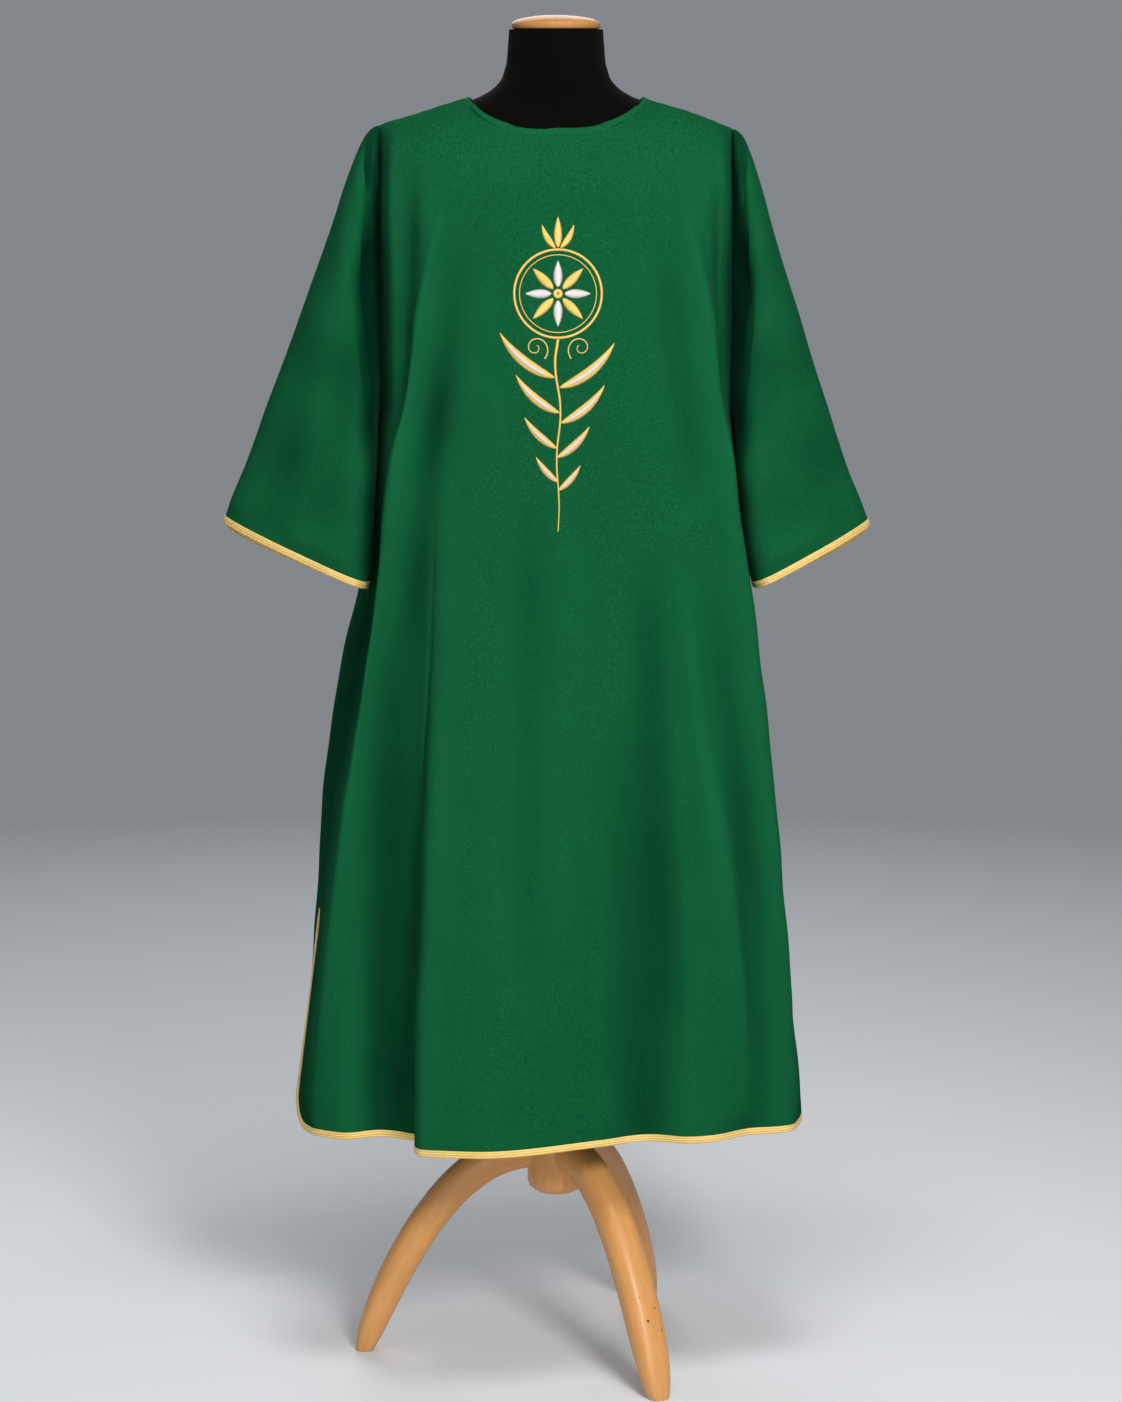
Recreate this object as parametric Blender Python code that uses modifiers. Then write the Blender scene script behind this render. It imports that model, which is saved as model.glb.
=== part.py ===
"""A half-sleeved dalmatic worn by a wooden-legged dress form.

The garment is cut as two body panels and two sleeves. Every piece of cloth is an outer
surface, worked out from short tables of sections, with a second surface one wall
thickness inside it. All sizes are in metres, +Z is up and the garment's front faces -Y.
The tables are measured from the dress form's axis.
"""

import math

import bmesh
import bpy
import numpy as np

# ---------------------------------------------------------------- driving sizes
WALL = 0.0020  # cloth with its turnings
SEAM = 0.0003  # between two pieces that are sewn together
AXIS_X = 0.0110  # the form stands this far to the right of the middle of the sleeves

HEM_Z = 0.3060
SLIT_TOP_Z = 0.5750
# How far each free edge beside a slit has moved from the side line at the hem: left, right.
FRONT_PARTING = (0.0460, 0.0180)
BACK_PARTING = (0.0180, 0.0150)
CORNER_R = 0.0440
CHEST_Z = 1.4400  # the shoulders roll over above this height
ARMPIT_Z = 1.1900
ARMHOLE_X = 0.2140  # the armhole seams lie in planes at this distance from the axis
ARMHOLE_DEPTH = 0.0250  # half the width of an armhole at its middle
ARMHOLE_SWELL = 1.60  # it is this much wider, as a share, where the shoulder rounds over
SWELL_AT, SWELL_REACH, SWELL_FADE = 0.10, 0.12, 0.05

NECK_X = 0.1045
NECK_FRONT = 0.0990
NECK_BACK = 0.0700
NECK_SQUARENESS = 2.8
NECK_SIDE_Z = 1.5690
SHOULDER_FALL = (0.3050, 0.3450)  # drop of each shoulder seam for each metre outwards

BINDING_W = 0.0090  # gold binding on the hem, slits and cuffs
NECK_BINDING_W = 0.0055
BINDING_LIFT = 0.0006  # the binding stands this far proud of each face of the cloth
BINDING_SEAM = 0.0005
BINDING_BEVEL = 0.0009
BINDING_START = 0.0250  # the slit's binding reaches its full width this far down

# Columns of a panel: how far round the half section each named line of it lies.
SIDE_AT, EDGE_AT, RIDGE_AT, NECK_AT = 1.0, 0.86, 0.62, 0.5
DRAWN_IN_FROM = 0.70  # columns beyond this one are drawn in at the bound edges
FOLD_FOOT_AT = 0.36  # the front panel's column that follows the main fold's foot
FOLD_FOLLOWED_OVER = 0.30  # it reaches that foot this far below the chest
FOLD_LEAN = 0.0130  # the main fold leans this far over its foot at the hem
FOLD_STEEPNESS = 8.0  # power of the main fold's left side, which drops almost at once
SECTION_SOFTNESS = 0.045
HEIGHT_SOFTNESS = 0.07

# ---------------------------------------------------------------- section tables
# The side seam: height, distance from the axis on the left and on the right.
SIDE_SEAM = [
    # z, left, right
    (1.190, 0.214, 0.214),
    (1.120, 0.2180, 0.2190),
    (1.050, 0.2220, 0.2245),
    (0.980, 0.2280, 0.2320),
    (0.850, 0.256, 0.246),
    (0.700, 0.279, 0.262),
    (0.500, 0.303, 0.283),
    (0.306, 0.329, 0.300),
]

# Half sections: height, then x and y of the sharp edge beside the armhole, which fades
# into the side below it, and of the ridge that runs from the chest to the hem's corner.
FRONT_LEFT = [
    # z, edge_x, edge_y, ridge_x, ridge_y
    (1.440, 0.2014, -0.095, 0.160, -0.113),
    (1.363, 0.2014, -0.092, 0.152, -0.125),
    (1.294, 0.2014, -0.086, 0.163, -0.128),
    (1.190, 0.2030, -0.084, 0.190, -0.128),
    (1.080, 0.2090, -0.076, 0.208, -0.132),
    (0.980, 0.2140, -0.055, 0.222, -0.136),
    (0.850, 0.2440, -0.058, 0.243, -0.142),
    (0.700, 0.2690, -0.062, 0.266, -0.146),
    (0.500, 0.2980, -0.072, 0.291, -0.142),
    (0.306, 0.3170, -0.080, 0.298, -0.118),
]
FRONT_RIGHT = [
    # z, edge_x, edge_y, ridge_x, ridge_y
    (1.440, 0.2055, -0.095, 0.166, -0.113),
    (1.363, 0.2055, -0.092, 0.170, -0.123),
    (1.294, 0.2060, -0.086, 0.183, -0.126),
    (1.190, 0.2080, -0.082, 0.204, -0.126),
    (1.080, 0.2160, -0.074, 0.221, -0.128),
    (0.980, 0.2260, -0.062, 0.240, -0.128),
    (0.850, 0.2480, -0.060, 0.254, -0.130),
    (0.700, 0.2660, -0.058, 0.270, -0.130),
    (0.500, 0.2880, -0.052, 0.290, -0.122),
    (0.306, 0.3080, -0.042, 0.293, -0.098),
]
BACK_LEFT = [
    # z, edge_x, edge_y, ridge_x, ridge_y
    (1.440, 0.2030, 0.082, 0.160, 0.108),
    (1.294, 0.2060, 0.088, 0.172, 0.124),
    (1.190, 0.2137, 0.090, 0.192, 0.130),
    (1.155, 0.2230, 0.093, 0.206, 0.133),
    (1.080, 0.2310, 0.095, 0.222, 0.138),
    (0.980, 0.2400, 0.090, 0.240, 0.143),
    (0.850, 0.2790, 0.060, 0.252, 0.149),
    (0.700, 0.2950, 0.048, 0.264, 0.155),
    (0.500, 0.3080, 0.048, 0.277, 0.160),
    (0.306, 0.3180, 0.058, 0.288, 0.158),
]
BACK_RIGHT = [
    # z, edge_x, edge_y, ridge_x, ridge_y
    (1.440, 0.2050, 0.082, 0.160, 0.108),
    (1.294, 0.2060, 0.088, 0.172, 0.124),
    (1.190, 0.2137, 0.090, 0.192, 0.130),
    (1.155, 0.2230, 0.093, 0.206, 0.133),
    (1.080, 0.2310, 0.093, 0.222, 0.137),
    (0.980, 0.2390, 0.084, 0.238, 0.141),
    (0.850, 0.2500, 0.066, 0.248, 0.147),
    (0.700, 0.2660, 0.058, 0.258, 0.151),
    (0.500, 0.2860, 0.058, 0.270, 0.155),
    (0.306, 0.3000, 0.062, 0.278, 0.152),
]
# The middle of each panel: height, y of the front, y of the back.
MIDDLE = [
    # z, front_y, back_y
    (1.440, -0.128, 0.120),
    (1.300, -0.146, 0.142),
    (1.150, -0.154, 0.148),
    (0.900, -0.166, 0.160),
    (0.600, -0.176, 0.176),
    (0.306, -0.172, 0.186),
]

# Folds stand proud of a panel (or sink into it, where deep is negative).
FRONT_FOLDS = [
    # name, x at the top, x at the hem, top z, full z, deep, width left, right
    ("main", -0.056, -0.0875, 1.120, 0.360, 0.066, 0.082, 0.180),
    ("left valley", -0.170, -0.208, 1.080, 0.420, -0.020, 0.055, 0.060),
    ("left ridge", -0.200, -0.262, 0.900, 0.400, 0.008, 0.045, 0.045),
    ("middle valley", 0.080, 0.108, 1.000, 0.420, -0.014, 0.055, 0.055),
    ("right ridge", 0.125, 0.178, 1.050, 0.420, 0.012, 0.060, 0.070),
    ("outer valley", 0.165, 0.236, 1.050, 0.500, -0.008, 0.040, 0.045),
]
BACK_FOLDS = [
    # name, x at the top, x at the hem, top z, full z, deep, width left, right
    ("left ridge", -0.110, -0.190, 1.250, 0.400, 0.030, 0.080, 0.070),
    ("left valley", -0.060, -0.095, 1.150, 0.420, -0.020, 0.060, 0.060),
    ("middle ridge", -0.010, -0.005, 1.100, 0.420, 0.028, 0.085, 0.095),
    ("right valley", 0.075, 0.112, 1.180, 0.420, -0.018, 0.060, 0.060),
    ("right ridge", 0.125, 0.205, 1.250, 0.400, 0.026, 0.075, 0.080),
]

# Sleeves: how far from armhole to cuff, then the line over the arm (x, z), the line
# under it (x, y, z) and how far the front and back layers stand from them.
SLEEVE_LEFT = [
    # share, over_x, over_z, under_x, under_y, under_z, front, back
    (0.00, 0.2140, 1.5356, 0.2140, 0.000, 1.190, 0.025, 0.025),
    (0.03, 0.2262, 1.5318, 0.2160, -0.004, 1.180, 0.052, 0.048),
    (0.07, 0.2380, 1.5120, 0.2172, -0.014, 1.168, 0.070, 0.066),
    (0.20, 0.2625, 1.4440, 0.2180, -0.036, 1.136, 0.070, 0.078),
    (0.35, 0.2885, 1.3700, 0.2188, -0.048, 1.098, 0.066, 0.084),
    (0.52, 0.3200, 1.2850, 0.2205, -0.054, 1.055, 0.062, 0.088),
    (0.70, 0.3540, 1.1950, 0.2235, -0.057, 1.017, 0.058, 0.090),
    (0.86, 0.3835, 1.1160, 0.2265, -0.058, 0.994, 0.056, 0.092),
    (1.00, 0.4100, 1.0520, 0.2298, -0.058, 0.977, 0.054, 0.092),
]
SLEEVE_RIGHT = [
    # share, over_x, over_z, under_x, under_y, under_z, front, back
    (0.00, 0.2140, 1.5312, 0.2140, 0.000, 1.190, 0.025, 0.025),
    (0.03, 0.2258, 1.5266, 0.2160, -0.004, 1.180, 0.052, 0.048),
    (0.07, 0.2350, 1.5050, 0.2176, -0.012, 1.168, 0.070, 0.066),
    (0.20, 0.2540, 1.4410, 0.2195, -0.032, 1.136, 0.070, 0.078),
    (0.35, 0.2755, 1.3700, 0.2210, -0.042, 1.098, 0.066, 0.084),
    (0.52, 0.3030, 1.2850, 0.2240, -0.046, 1.055, 0.062, 0.088),
    (0.70, 0.3320, 1.1950, 0.2300, -0.048, 1.017, 0.058, 0.090),
    (0.86, 0.3590, 1.1150, 0.2365, -0.050, 0.994, 0.056, 0.092),
    (1.00, 0.3864, 1.0480, 0.2420, -0.050, 0.977, 0.054, 0.092),
]
SLEEVE_BACK_DROP = 0.022  # the back layer hangs this much lower at the cuff
SLEEVE_SQUARENESS = 2.7
SLEEVE_SKEW = 0.30  # the layers stand further apart towards the body

# Dress form: height, half width, depth in front and behind, roundness (2 is an ellipse).
TORSO = [
    # z, half_width, front, back, power
    (0.8000, 0.150, 0.095, 0.105, 2.3),
    (0.8150, 0.160, 0.103, 0.114, 2.3),
    (0.9000, 0.166, 0.106, 0.120, 2.3),
    (1.0000, 0.160, 0.104, 0.108, 2.3),
    (1.1000, 0.150, 0.104, 0.096, 2.3),
    (1.2000, 0.156, 0.114, 0.100, 2.3),
    (1.3000, 0.168, 0.122, 0.110, 2.3),
    (1.3800, 0.178, 0.120, 0.112, 2.3),
    (1.4400, 0.190, 0.110, 0.106, 2.2),
    (1.4850, 0.199, 0.096, 0.094, 2.1),
    (1.5080, 0.200, 0.084, 0.082, 2.0),
    (1.5230, 0.196, 0.072, 0.070, 1.9),
    (1.5335, 0.186, 0.064, 0.062, 1.8),
    (1.5461, 0.160, 0.060, 0.058, 1.8),
    (1.5556, 0.135, 0.058, 0.056, 1.8),
    (1.5621, 0.115, 0.057, 0.055, 1.8),
    (1.5663, 0.098, 0.056, 0.055, 1.9),
    (1.5780, 0.077, 0.056, 0.055, 2.0),
    (1.5900, 0.066, 0.056, 0.056, 2.0),
    (1.6100, 0.060, 0.055, 0.056, 2.0),
    (1.6500, 0.057, 0.054, 0.056, 2.0),
]
TORSO_SIDES = 32

CAP_R = 0.0535
CAP_H = 0.0170
CAP_RIM_H = 0.006
POLE_R = 0.0165
HUB_R = 0.0360
HUB_Z = (0.205, 0.330)
LEG_ANGLES = (31.0, 151.0, 271.0)  # round from the front, towards the right
LEG = [
    # out, z, half_width, half_height
    (0.020, 0.262, 0.0200, 0.0240),
    (0.060, 0.258, 0.0205, 0.0240),
    (0.105, 0.234, 0.0215, 0.0225),
    (0.150, 0.188, 0.0225, 0.0215),
    (0.190, 0.126, 0.0230, 0.0210),
    (0.218, 0.068, 0.0225, 0.0195),
    (0.234, 0.028, 0.0195, 0.0165),
    (0.242, 0.006, 0.0145, 0.0125),
    (0.246, -0.008, 0.0090, 0.0080),
]
LEG_SIDES = 12

# ---------------------------------------------------------------- colours
GREEN = (0.0056, 0.0930, 0.0343)
GOLD = (0.780, 0.520, 0.130)
BLACK = (0.0060, 0.0050, 0.0045)
WOOD = (0.560, 0.260, 0.075)


# ---------------------------------------------------------------- small helpers
def soft(at, knots, values, reach):
    """Values joined by straight lines whose corners are rounded over +-reach."""
    knots, values = np.asarray(knots, float), np.asarray(values, float)
    if knots[0] > knots[-1]:
        knots, values = knots[::-1], values[::-1]
    first = (values[1] - values[0]) / (knots[1] - knots[0])
    last = (values[-1] - values[-2]) / (knots[-1] - knots[-2])
    knots = np.concatenate([[knots[0] - reach], knots, [knots[-1] + reach]])
    values = np.concatenate([[values[0] - first * reach], values, [values[-1] + last * reach]])
    steps = np.linspace(-reach, reach, 9)
    return np.mean([np.interp(np.asarray(at) + step, knots, values) for step in steps], axis=0)


def column(table, name_at, at, reach=HEIGHT_SOFTNESS):
    """One named column of a table, read at the heights or shares in its first column."""
    rows = np.array([row[:1] + (row[name_at],) for row in table], float)
    return soft(at, rows[:, 0], rows[:, 1], reach)


def smooth(x):
    x = np.clip(x, 0.0, 1.0)
    return x * x * (3.0 - 2.0 * x)


def signed_power(x, power):
    return np.sign(x) * np.abs(x) ** power


# ---------------------------------------------------------------- the body's surface
def swell(across):
    """How much wider an armhole is, across its height from 0 at the top to 1 below."""
    return ARMHOLE_SWELL * np.exp(-(((across - SWELL_AT) / SWELL_REACH) ** 2))


def armhole_width(z, side):
    """How far the armhole seam lies before or behind the shoulder line at a height."""
    top = shoulder_z(side * ARMHOLE_X)
    across = np.clip((top - z) / (top - ARMPIT_Z), 0.0, 1.0)
    oval = np.clip(1.0 - (across * 2.0 - 1.0) ** 2, 0.0, 1.0) ** (1.0 / SLEEVE_SQUARENESS)
    return ARMHOLE_DEPTH * oval * (1.0 + swell(across))


def shoulder_z(x):
    """Height of the shoulder line, and of the saddle that it makes inside the neck."""
    fall = np.where(x < 0, *SHOULDER_FALL)
    far = np.abs(x)
    far = np.where(far < NECK_X, (far**2 + NECK_X**2) / (2.0 * NECK_X), far)
    return NECK_SIDE_Z - fall * (far - NECK_X)


def side_point(z, side, face):
    """The end of a section: armhole seam, side seam or edge of the slit."""
    low = np.minimum(z, ARMPIT_Z)
    out = np.where(side < 0, column(SIDE_SEAM, 1, low, 0.03), column(SIDE_SEAM, 2, low, 0.03))
    parting = np.where(side < 0, *(FRONT_PARTING if face < 0 else BACK_PARTING))
    parting = parting * smooth((SLIT_TOP_Z - z) / (SLIT_TOP_Z - HEM_Z)) ** 1.2
    x = np.where(z >= ARMPIT_Z, ARMHOLE_X, out)
    y = np.where(z >= ARMPIT_Z, armhole_width(z, side), parting)
    return x, face * y


def sharp_section(s, z, face):
    """A point of a panel's section, before its corners are rounded."""
    left, right = (FRONT_LEFT, FRONT_RIGHT) if face < 0 else (BACK_LEFT, BACK_RIGHT)
    middle_y = column(MIDDLE, 1 if face < 0 else 2, z)
    side = np.where(s < 0, -1.0, 1.0)
    edge_x, edge_y, ridge_x, ridge_y = (
        np.where(s < 0, column(left, i, z), column(right, i, z)) for i in (1, 2, 3, 4)
    )
    end_x, end_y = side_point(z, side, face)
    far = np.abs(s)
    bow = far / RIDGE_AT
    in_front = far <= RIDGE_AT
    to_edge = (far - RIDGE_AT) / (EDGE_AT - RIDGE_AT)
    to_side = (far - EDGE_AT) / (SIDE_AT - EDGE_AT)
    on_edge = far <= EDGE_AT
    x = np.where(on_edge, ridge_x + (edge_x - ridge_x) * to_edge, edge_x + (end_x - edge_x) * to_side)
    y = np.where(on_edge, ridge_y + (edge_y - ridge_y) * to_edge, edge_y + (end_y - edge_y) * to_side)
    x = np.where(in_front, ridge_x * bow, x)
    y = np.where(in_front, middle_y + (ridge_y - middle_y) * bow**2, y)
    return side * x, y


def section(s, z, face):
    """A point of a panel at or below the chest: rounded section with its folds."""
    steps = np.linspace(-SECTION_SOFTNESS, SECTION_SOFTNESS, 7)
    near_end = np.clip((1.0 - np.abs(s)) / SECTION_SOFTNESS, 0.0, 1.0)
    points = [sharp_section(s + step * near_end, z, face) for step in steps]
    x = np.mean([p[0] for p in points], axis=0)
    y = np.mean([p[1] for p in points], axis=0)
    down = (CHEST_Z - z) / (CHEST_Z - HEM_Z)
    lean = 0.0
    folds = FRONT_FOLDS if face < 0 else BACK_FOLDS
    for name, top_x, hem_x, top_z, full_z, deep, wide_left, wide_right in folds:
        off = x - (top_x + (hem_x - top_x) * down)
        wide = np.where(off < 0, wide_left, wide_right)
        shape = np.cos(np.clip(off / wide, -1.0, 1.0) * math.pi / 2.0) ** 2
        if name == "main":
            steep = 1.0 - np.clip(-off / wide_left, 0.0, 1.0) ** FOLD_STEEPNESS
            shape = np.where(off < 0, steep, shape)
        full = smooth((top_z - z) / (top_z - full_z)) * fade_at_side(s)
        y = y + face * deep * shape * full
        if name == "main":
            lean = FOLD_LEAN * full * shape * smooth(1.0 - off / wide)
    return x - lean, y


def fade_at_side(s):
    return smooth((1.0 - np.abs(s)) / (1.0 - EDGE_AT))


def top_edge(s, face, outside):
    """The neckline's rounded outline, then the shoulder seam out to the armhole."""
    turn = np.clip(s / NECK_AT, -1.0, 1.0) * math.pi / 2.0
    deep = (NECK_FRONT if face < 0 else NECK_BACK) + outside
    along = np.clip((np.abs(s) - NECK_AT) / (1.0 - NECK_AT), 0.0, 1.0)
    half = NECK_X + outside
    power = 2.0 / NECK_SQUARENESS
    x = half * signed_power(np.sin(turn), power) + np.sign(s) * (ARMHOLE_X - half) * along
    y = face * deep * np.where(np.abs(s) < NECK_AT, signed_power(np.cos(turn), power), 0.0)
    return x, y


def shoulder(s, share, face, outside=NECK_BINDING_W):
    """A point between the top edge (share 0) and the chest (share 1)."""
    chest_x, chest_y = section(s, np.full_like(s, CHEST_Z), face)
    top_x, top_y = top_edge(s, face, outside)
    start = np.arcsin(np.clip(top_y / chest_y, 0.0, 1.0))
    turn = start + (math.pi / 2.0 - start) * share**1.25
    x = top_x + (chest_x - top_x) * (1.0 - (1.0 - share) ** 2.2)
    y = chest_y * np.sin(turn)
    z = CHEST_Z + (shoulder_z(top_x) - CHEST_Z) * np.cos(turn)
    return np.stack([x, y, z], axis=-1)


def drawn_in(s, inset, face):
    """Columns whose outer ones are moved in so that the last lies inset from the side."""
    beyond = np.clip((np.abs(s) - DRAWN_IN_FROM) / (1.0 - DRAWN_IN_FROM), 0.0, 1.0)
    return s - np.sign(s) * beyond * inset / side_stretch(face)


def along_fold(s, z, face):
    """Columns of the front panel moved so that one of them follows the main fold's foot."""
    if face > 0:
        return s
    _, top_x, hem_x, _, _, _, wide_left, _ = FRONT_FOLDS[0]
    down = (CHEST_Z - z) / (CHEST_Z - HEM_Z)
    foot = wide_left - top_x - (hem_x - top_x) * down
    foot_at = foot / column(FRONT_LEFT, 3, z) * RIDGE_AT
    moved = (foot_at - FOLD_FOOT_AT) * smooth((CHEST_Z - z) / FOLD_FOLLOWED_OVER)
    near = np.where(s < -FOLD_FOOT_AT, (s + RIDGE_AT) / (RIDGE_AT - FOLD_FOOT_AT), -s / FOLD_FOOT_AT)
    return s - moved * np.clip(near, 0.0, 1.0)


def panel_row(s, z, inset, face):
    z = np.zeros_like(s) + z
    x, y = section(drawn_in(along_fold(s, z, face), inset, face), z, face)
    return np.stack([x, y, z], axis=-1)


def side_stretch(face):
    """Metres of cloth at the hem for one unit of s, beside the slit."""
    a = np.array(section(np.array([1.0]), np.array([HEM_Z]), face))
    b = np.array(section(np.array([EDGE_AT]), np.array([HEM_Z]), face))
    return float(np.linalg.norm(a - b)) / (1.0 - EDGE_AT)


def corner(angle, width):
    """Height above the finished hem, and inset from the finished side, round a corner."""
    radius = CORNER_R - width
    turn = math.radians(angle)
    return CORNER_R - radius * math.sin(turn), CORNER_R - radius * math.cos(turn)


def side_inset(z):
    """How far the cloth stops short of the slit's finished edge."""
    return BINDING_W * float(smooth((SLIT_TOP_Z - z) / BINDING_START))


# ---------------------------------------------------------------- the sleeves' surface
def sleeve_point(table, side, share, turn):
    """turn runs from 0 over the arm, through the front, to pi under it and round."""
    over_x, over_z, under_x, under_y, under_z, front, back = (
        column(table, i, share, 0.02) for i in range(1, 8)
    )
    across = (1.0 - signed_power(np.cos(turn), 2.0 / SLEEVE_SQUARENESS)) / 2.0
    bulge = np.abs(np.sin(turn)) ** (2.0 / SLEEVE_SQUARENESS)
    skew = 1.0 - SLEEVE_SKEW * smooth(share) * np.cos(turn)
    skew = skew + swell(across) * (1.0 - smooth(share / SWELL_FADE))
    behind = np.sin(turn) < 0
    x = side * (over_x + (under_x - over_x) * across)
    y = under_y * across + np.where(behind, back, -front) * bulge * skew
    z = over_z + (under_z - over_z) * across
    z = z - np.where(behind, SLEEVE_BACK_DROP * smooth(share) * bulge, 0.0)
    return np.stack([x, y, z], axis=-1)


def before_cuff(table, side, turns, distance):
    """The shares at which the sleeve is this distance short of its cuff."""
    probe = 0.05
    cuff = sleeve_point(table, side, np.ones_like(turns), turns)
    short = sleeve_point(table, side, np.full_like(turns, 1.0 - probe), turns)
    return 1.0 - probe * distance / np.linalg.norm(cuff - short, axis=-1)


# ---------------------------------------------------------------- making solids
def normals_of(grid, wrap):
    """Unit normals of a grid of points, on the side that the cloth shows."""
    down = np.gradient(grid, axis=0)
    if wrap:
        across = (np.roll(grid, -1, axis=1) - np.roll(grid, 1, axis=1)) / 2.0
    else:
        across = np.gradient(grid, axis=1)
    normal = np.cross(across, down)
    return normal / np.maximum(np.linalg.norm(normal, axis=-1, keepdims=True), 1e-9)


def thick_grid(name, grid, wrap, outward, limit, material, collection):
    """A cloth wall: the grid's points, and a second layer one wall inside them."""
    outer = limit(grid)
    inner = limit(outer - WALL * outward * normals_of(outer, wrap))
    rows, cols = grid.shape[:2]
    points = np.concatenate([outer.reshape(-1, 3), inner.reshape(-1, 3)])

    def at(layer, row, col):
        return layer * rows * cols + row * cols + col % cols

    def rim(here, after):
        return [
            [at(0, *here), at(0, *after), at(1, *after)],
            [at(0, *here), at(1, *after), at(1, *here)],
        ]

    # Both layers are cut along the same diagonal, so that they never cross.
    faces = []
    for row in range(rows - 1):
        for col in range(cols if wrap else cols - 1):
            a, b, c, d = (row, col), (row, col + 1), (row + 1, col + 1), (row + 1, col)
            corner_at = [outer[r, k % cols] for r, k in (a, b, c, d)]
            falling = np.linalg.norm(corner_at[0] - corner_at[2])
            rising = np.linalg.norm(corner_at[1] - corner_at[3])
            halves = ((a, b, c), (a, c, d)) if falling <= rising else ((a, b, d), (b, c, d))
            for half in halves:
                faces.append([at(0, r, k) for r, k in half])
                faces.append([at(1, r, k) for r, k in reversed(half)])
    last = rows - 1
    for col in range(cols if wrap else cols - 1):
        top = ((0, col), (0, col + 1)) if outward < 0 else ((0, col + 1), (0, col))
        faces += rim(*top) + rim((last, col), (last, col + 1))
    if not wrap:
        for row in range(rows - 1):
            faces += rim((row, 0), (row + 1, 0)) + rim((row + 1, cols - 1), (row, cols - 1))
    made = add_mesh(name, points, faces, material, collection)
    return made, outer, inner


def add_mesh(name, points, faces, material, collection):
    mesh = bpy.data.meshes.new(name)
    mesh.from_pydata([tuple(p) for p in points], [], faces)
    bm = bmesh.new()
    bm.from_mesh(mesh)
    bmesh.ops.recalc_face_normals(bm, faces=bm.faces)
    bm.to_mesh(mesh)
    bm.free()
    mesh.shade_smooth()
    mesh.set_sharp_from_angle(angle=math.radians(50))
    made = bpy.data.objects.new(name, mesh)
    made.data.materials.append(material)
    collection.objects.link(made)
    return made


def binding(name, cloth_outer, cloth_inner, finished, closed, material, collection):
    """A folded tape that takes over where the cloth stops.

    cloth_outer and cloth_inner are the two rims of the cloth's edge, and finished holds
    the points that the outer rim would reach at the garment's finished edge."""
    through = cloth_outer - cloth_inner
    through /= np.linalg.norm(through, axis=-1, keepdims=True)
    out = finished - cloth_outer
    width = np.linalg.norm(out, axis=-1, keepdims=True)
    out = out / width
    along = np.roll(cloth_outer, -1, axis=0) - np.roll(cloth_outer, 1, axis=0)
    if not closed:
        along[0] = cloth_outer[1] - cloth_outer[0]
        along[-1] = cloth_outer[-1] - cloth_outer[-2]
    across = np.cross(along, through)
    across /= np.linalg.norm(across, axis=-1, keepdims=True)
    square = np.abs((out * across).sum(axis=-1, keepdims=True))
    lift = BINDING_LIFT
    bevel = np.minimum(BINDING_BEVEL, width * 0.3)
    start = cloth_outer + out * BINDING_SEAM / np.maximum(square, 0.5)
    loop = [
        start + through * lift,
        finished - out * bevel + through * lift,
        finished - through * (BINDING_BEVEL - lift),
        finished - through * (WALL + lift - BINDING_BEVEL),
        finished - out * bevel - through * (WALL + lift),
        start - through * (WALL + lift),
    ]
    stations, sides = len(start), len(loop)
    points = np.stack(loop, axis=1).reshape(-1, 3)
    faces = []
    for k in range(stations if closed else stations - 1):
        after = (k + 1) % stations
        for i in range(sides):
            j = (i + 1) % sides
            faces.append([k * sides + i, k * sides + j, after * sides + i])
            faces.append([k * sides + j, after * sides + j, after * sides + i])
    if not closed:
        end = (stations - 1) * sides
        faces.append(list(range(sides))[::-1])
        faces.append([end + i for i in range(sides)])
    return add_mesh(name, points, faces, material, collection)


def plain_material(name, colour, roughness, metallic=0.0):
    material = bpy.data.materials.new(name)
    material.use_nodes = True
    shader = material.node_tree.nodes["Principled BSDF"]
    shader.inputs["Base Color"].default_value = (*colour, 1.0)
    shader.inputs["Roughness"].default_value = roughness
    shader.inputs["Metallic"].default_value = metallic
    material.diffuse_color = (*colour, 1.0)
    return material


def turned(name, profile, steps, material, collection):
    """A turned solid from a profile of (radius, z), top to bottom, with a Screw."""
    mesh = bpy.data.meshes.new(name)
    mesh.from_pydata([(r, 0.0, z) for r, z in profile], [(i, i + 1) for i in range(len(profile) - 1)], [])
    made = bpy.data.objects.new(name, mesh)
    made.data.materials.append(material)
    collection.objects.link(made)
    screw = made.modifiers.new("turn", "SCREW")
    screw.steps = steps
    screw.render_steps = steps
    screw.use_merge_vertices = True
    screw.merge_threshold = 0.00002
    screw.use_smooth_shade = True
    return made


# ---------------------------------------------------------------- the garment's pieces
PANEL_COLUMNS = np.array(
    [-1.0, -0.93, -0.86, -0.78, -0.70, -0.62, -0.56, -0.5, -0.44, -0.395, -0.370, -0.357]
    + [-0.350, -0.341, -0.325, -0.295, -0.24, -0.16, -0.08, 0.0, 0.055, 0.11, 0.17, 0.23, 0.29, 0.36]
    + [0.43, 0.5, 0.56, 0.62, 0.70, 0.78, 0.86, 0.93, 1.0]
)
SHOULDER_SHARES = [0.0, 0.08, 0.24, 0.45, 0.70]
PANEL_HEIGHTS = [CHEST_Z, 1.35, 1.27, ARMPIT_Z, 1.12, 1.05, 0.97, 0.88, 0.78, 0.68]
SLIT_HEIGHTS = [SLIT_TOP_Z, SLIT_TOP_Z - 0.012, SLIT_TOP_Z - BINDING_START, 0.48, 0.41]
CORNER_ANGLES = [0.0, 22.5, 45.0, 67.5, 90.0]


def front_limit(points):
    """Keeps the front panel before its seams with the back and the sleeves."""
    points = points.copy()
    points[..., 1] = np.minimum(points[..., 1], -SEAM / 2.0)
    return armhole_limit(points)


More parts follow.
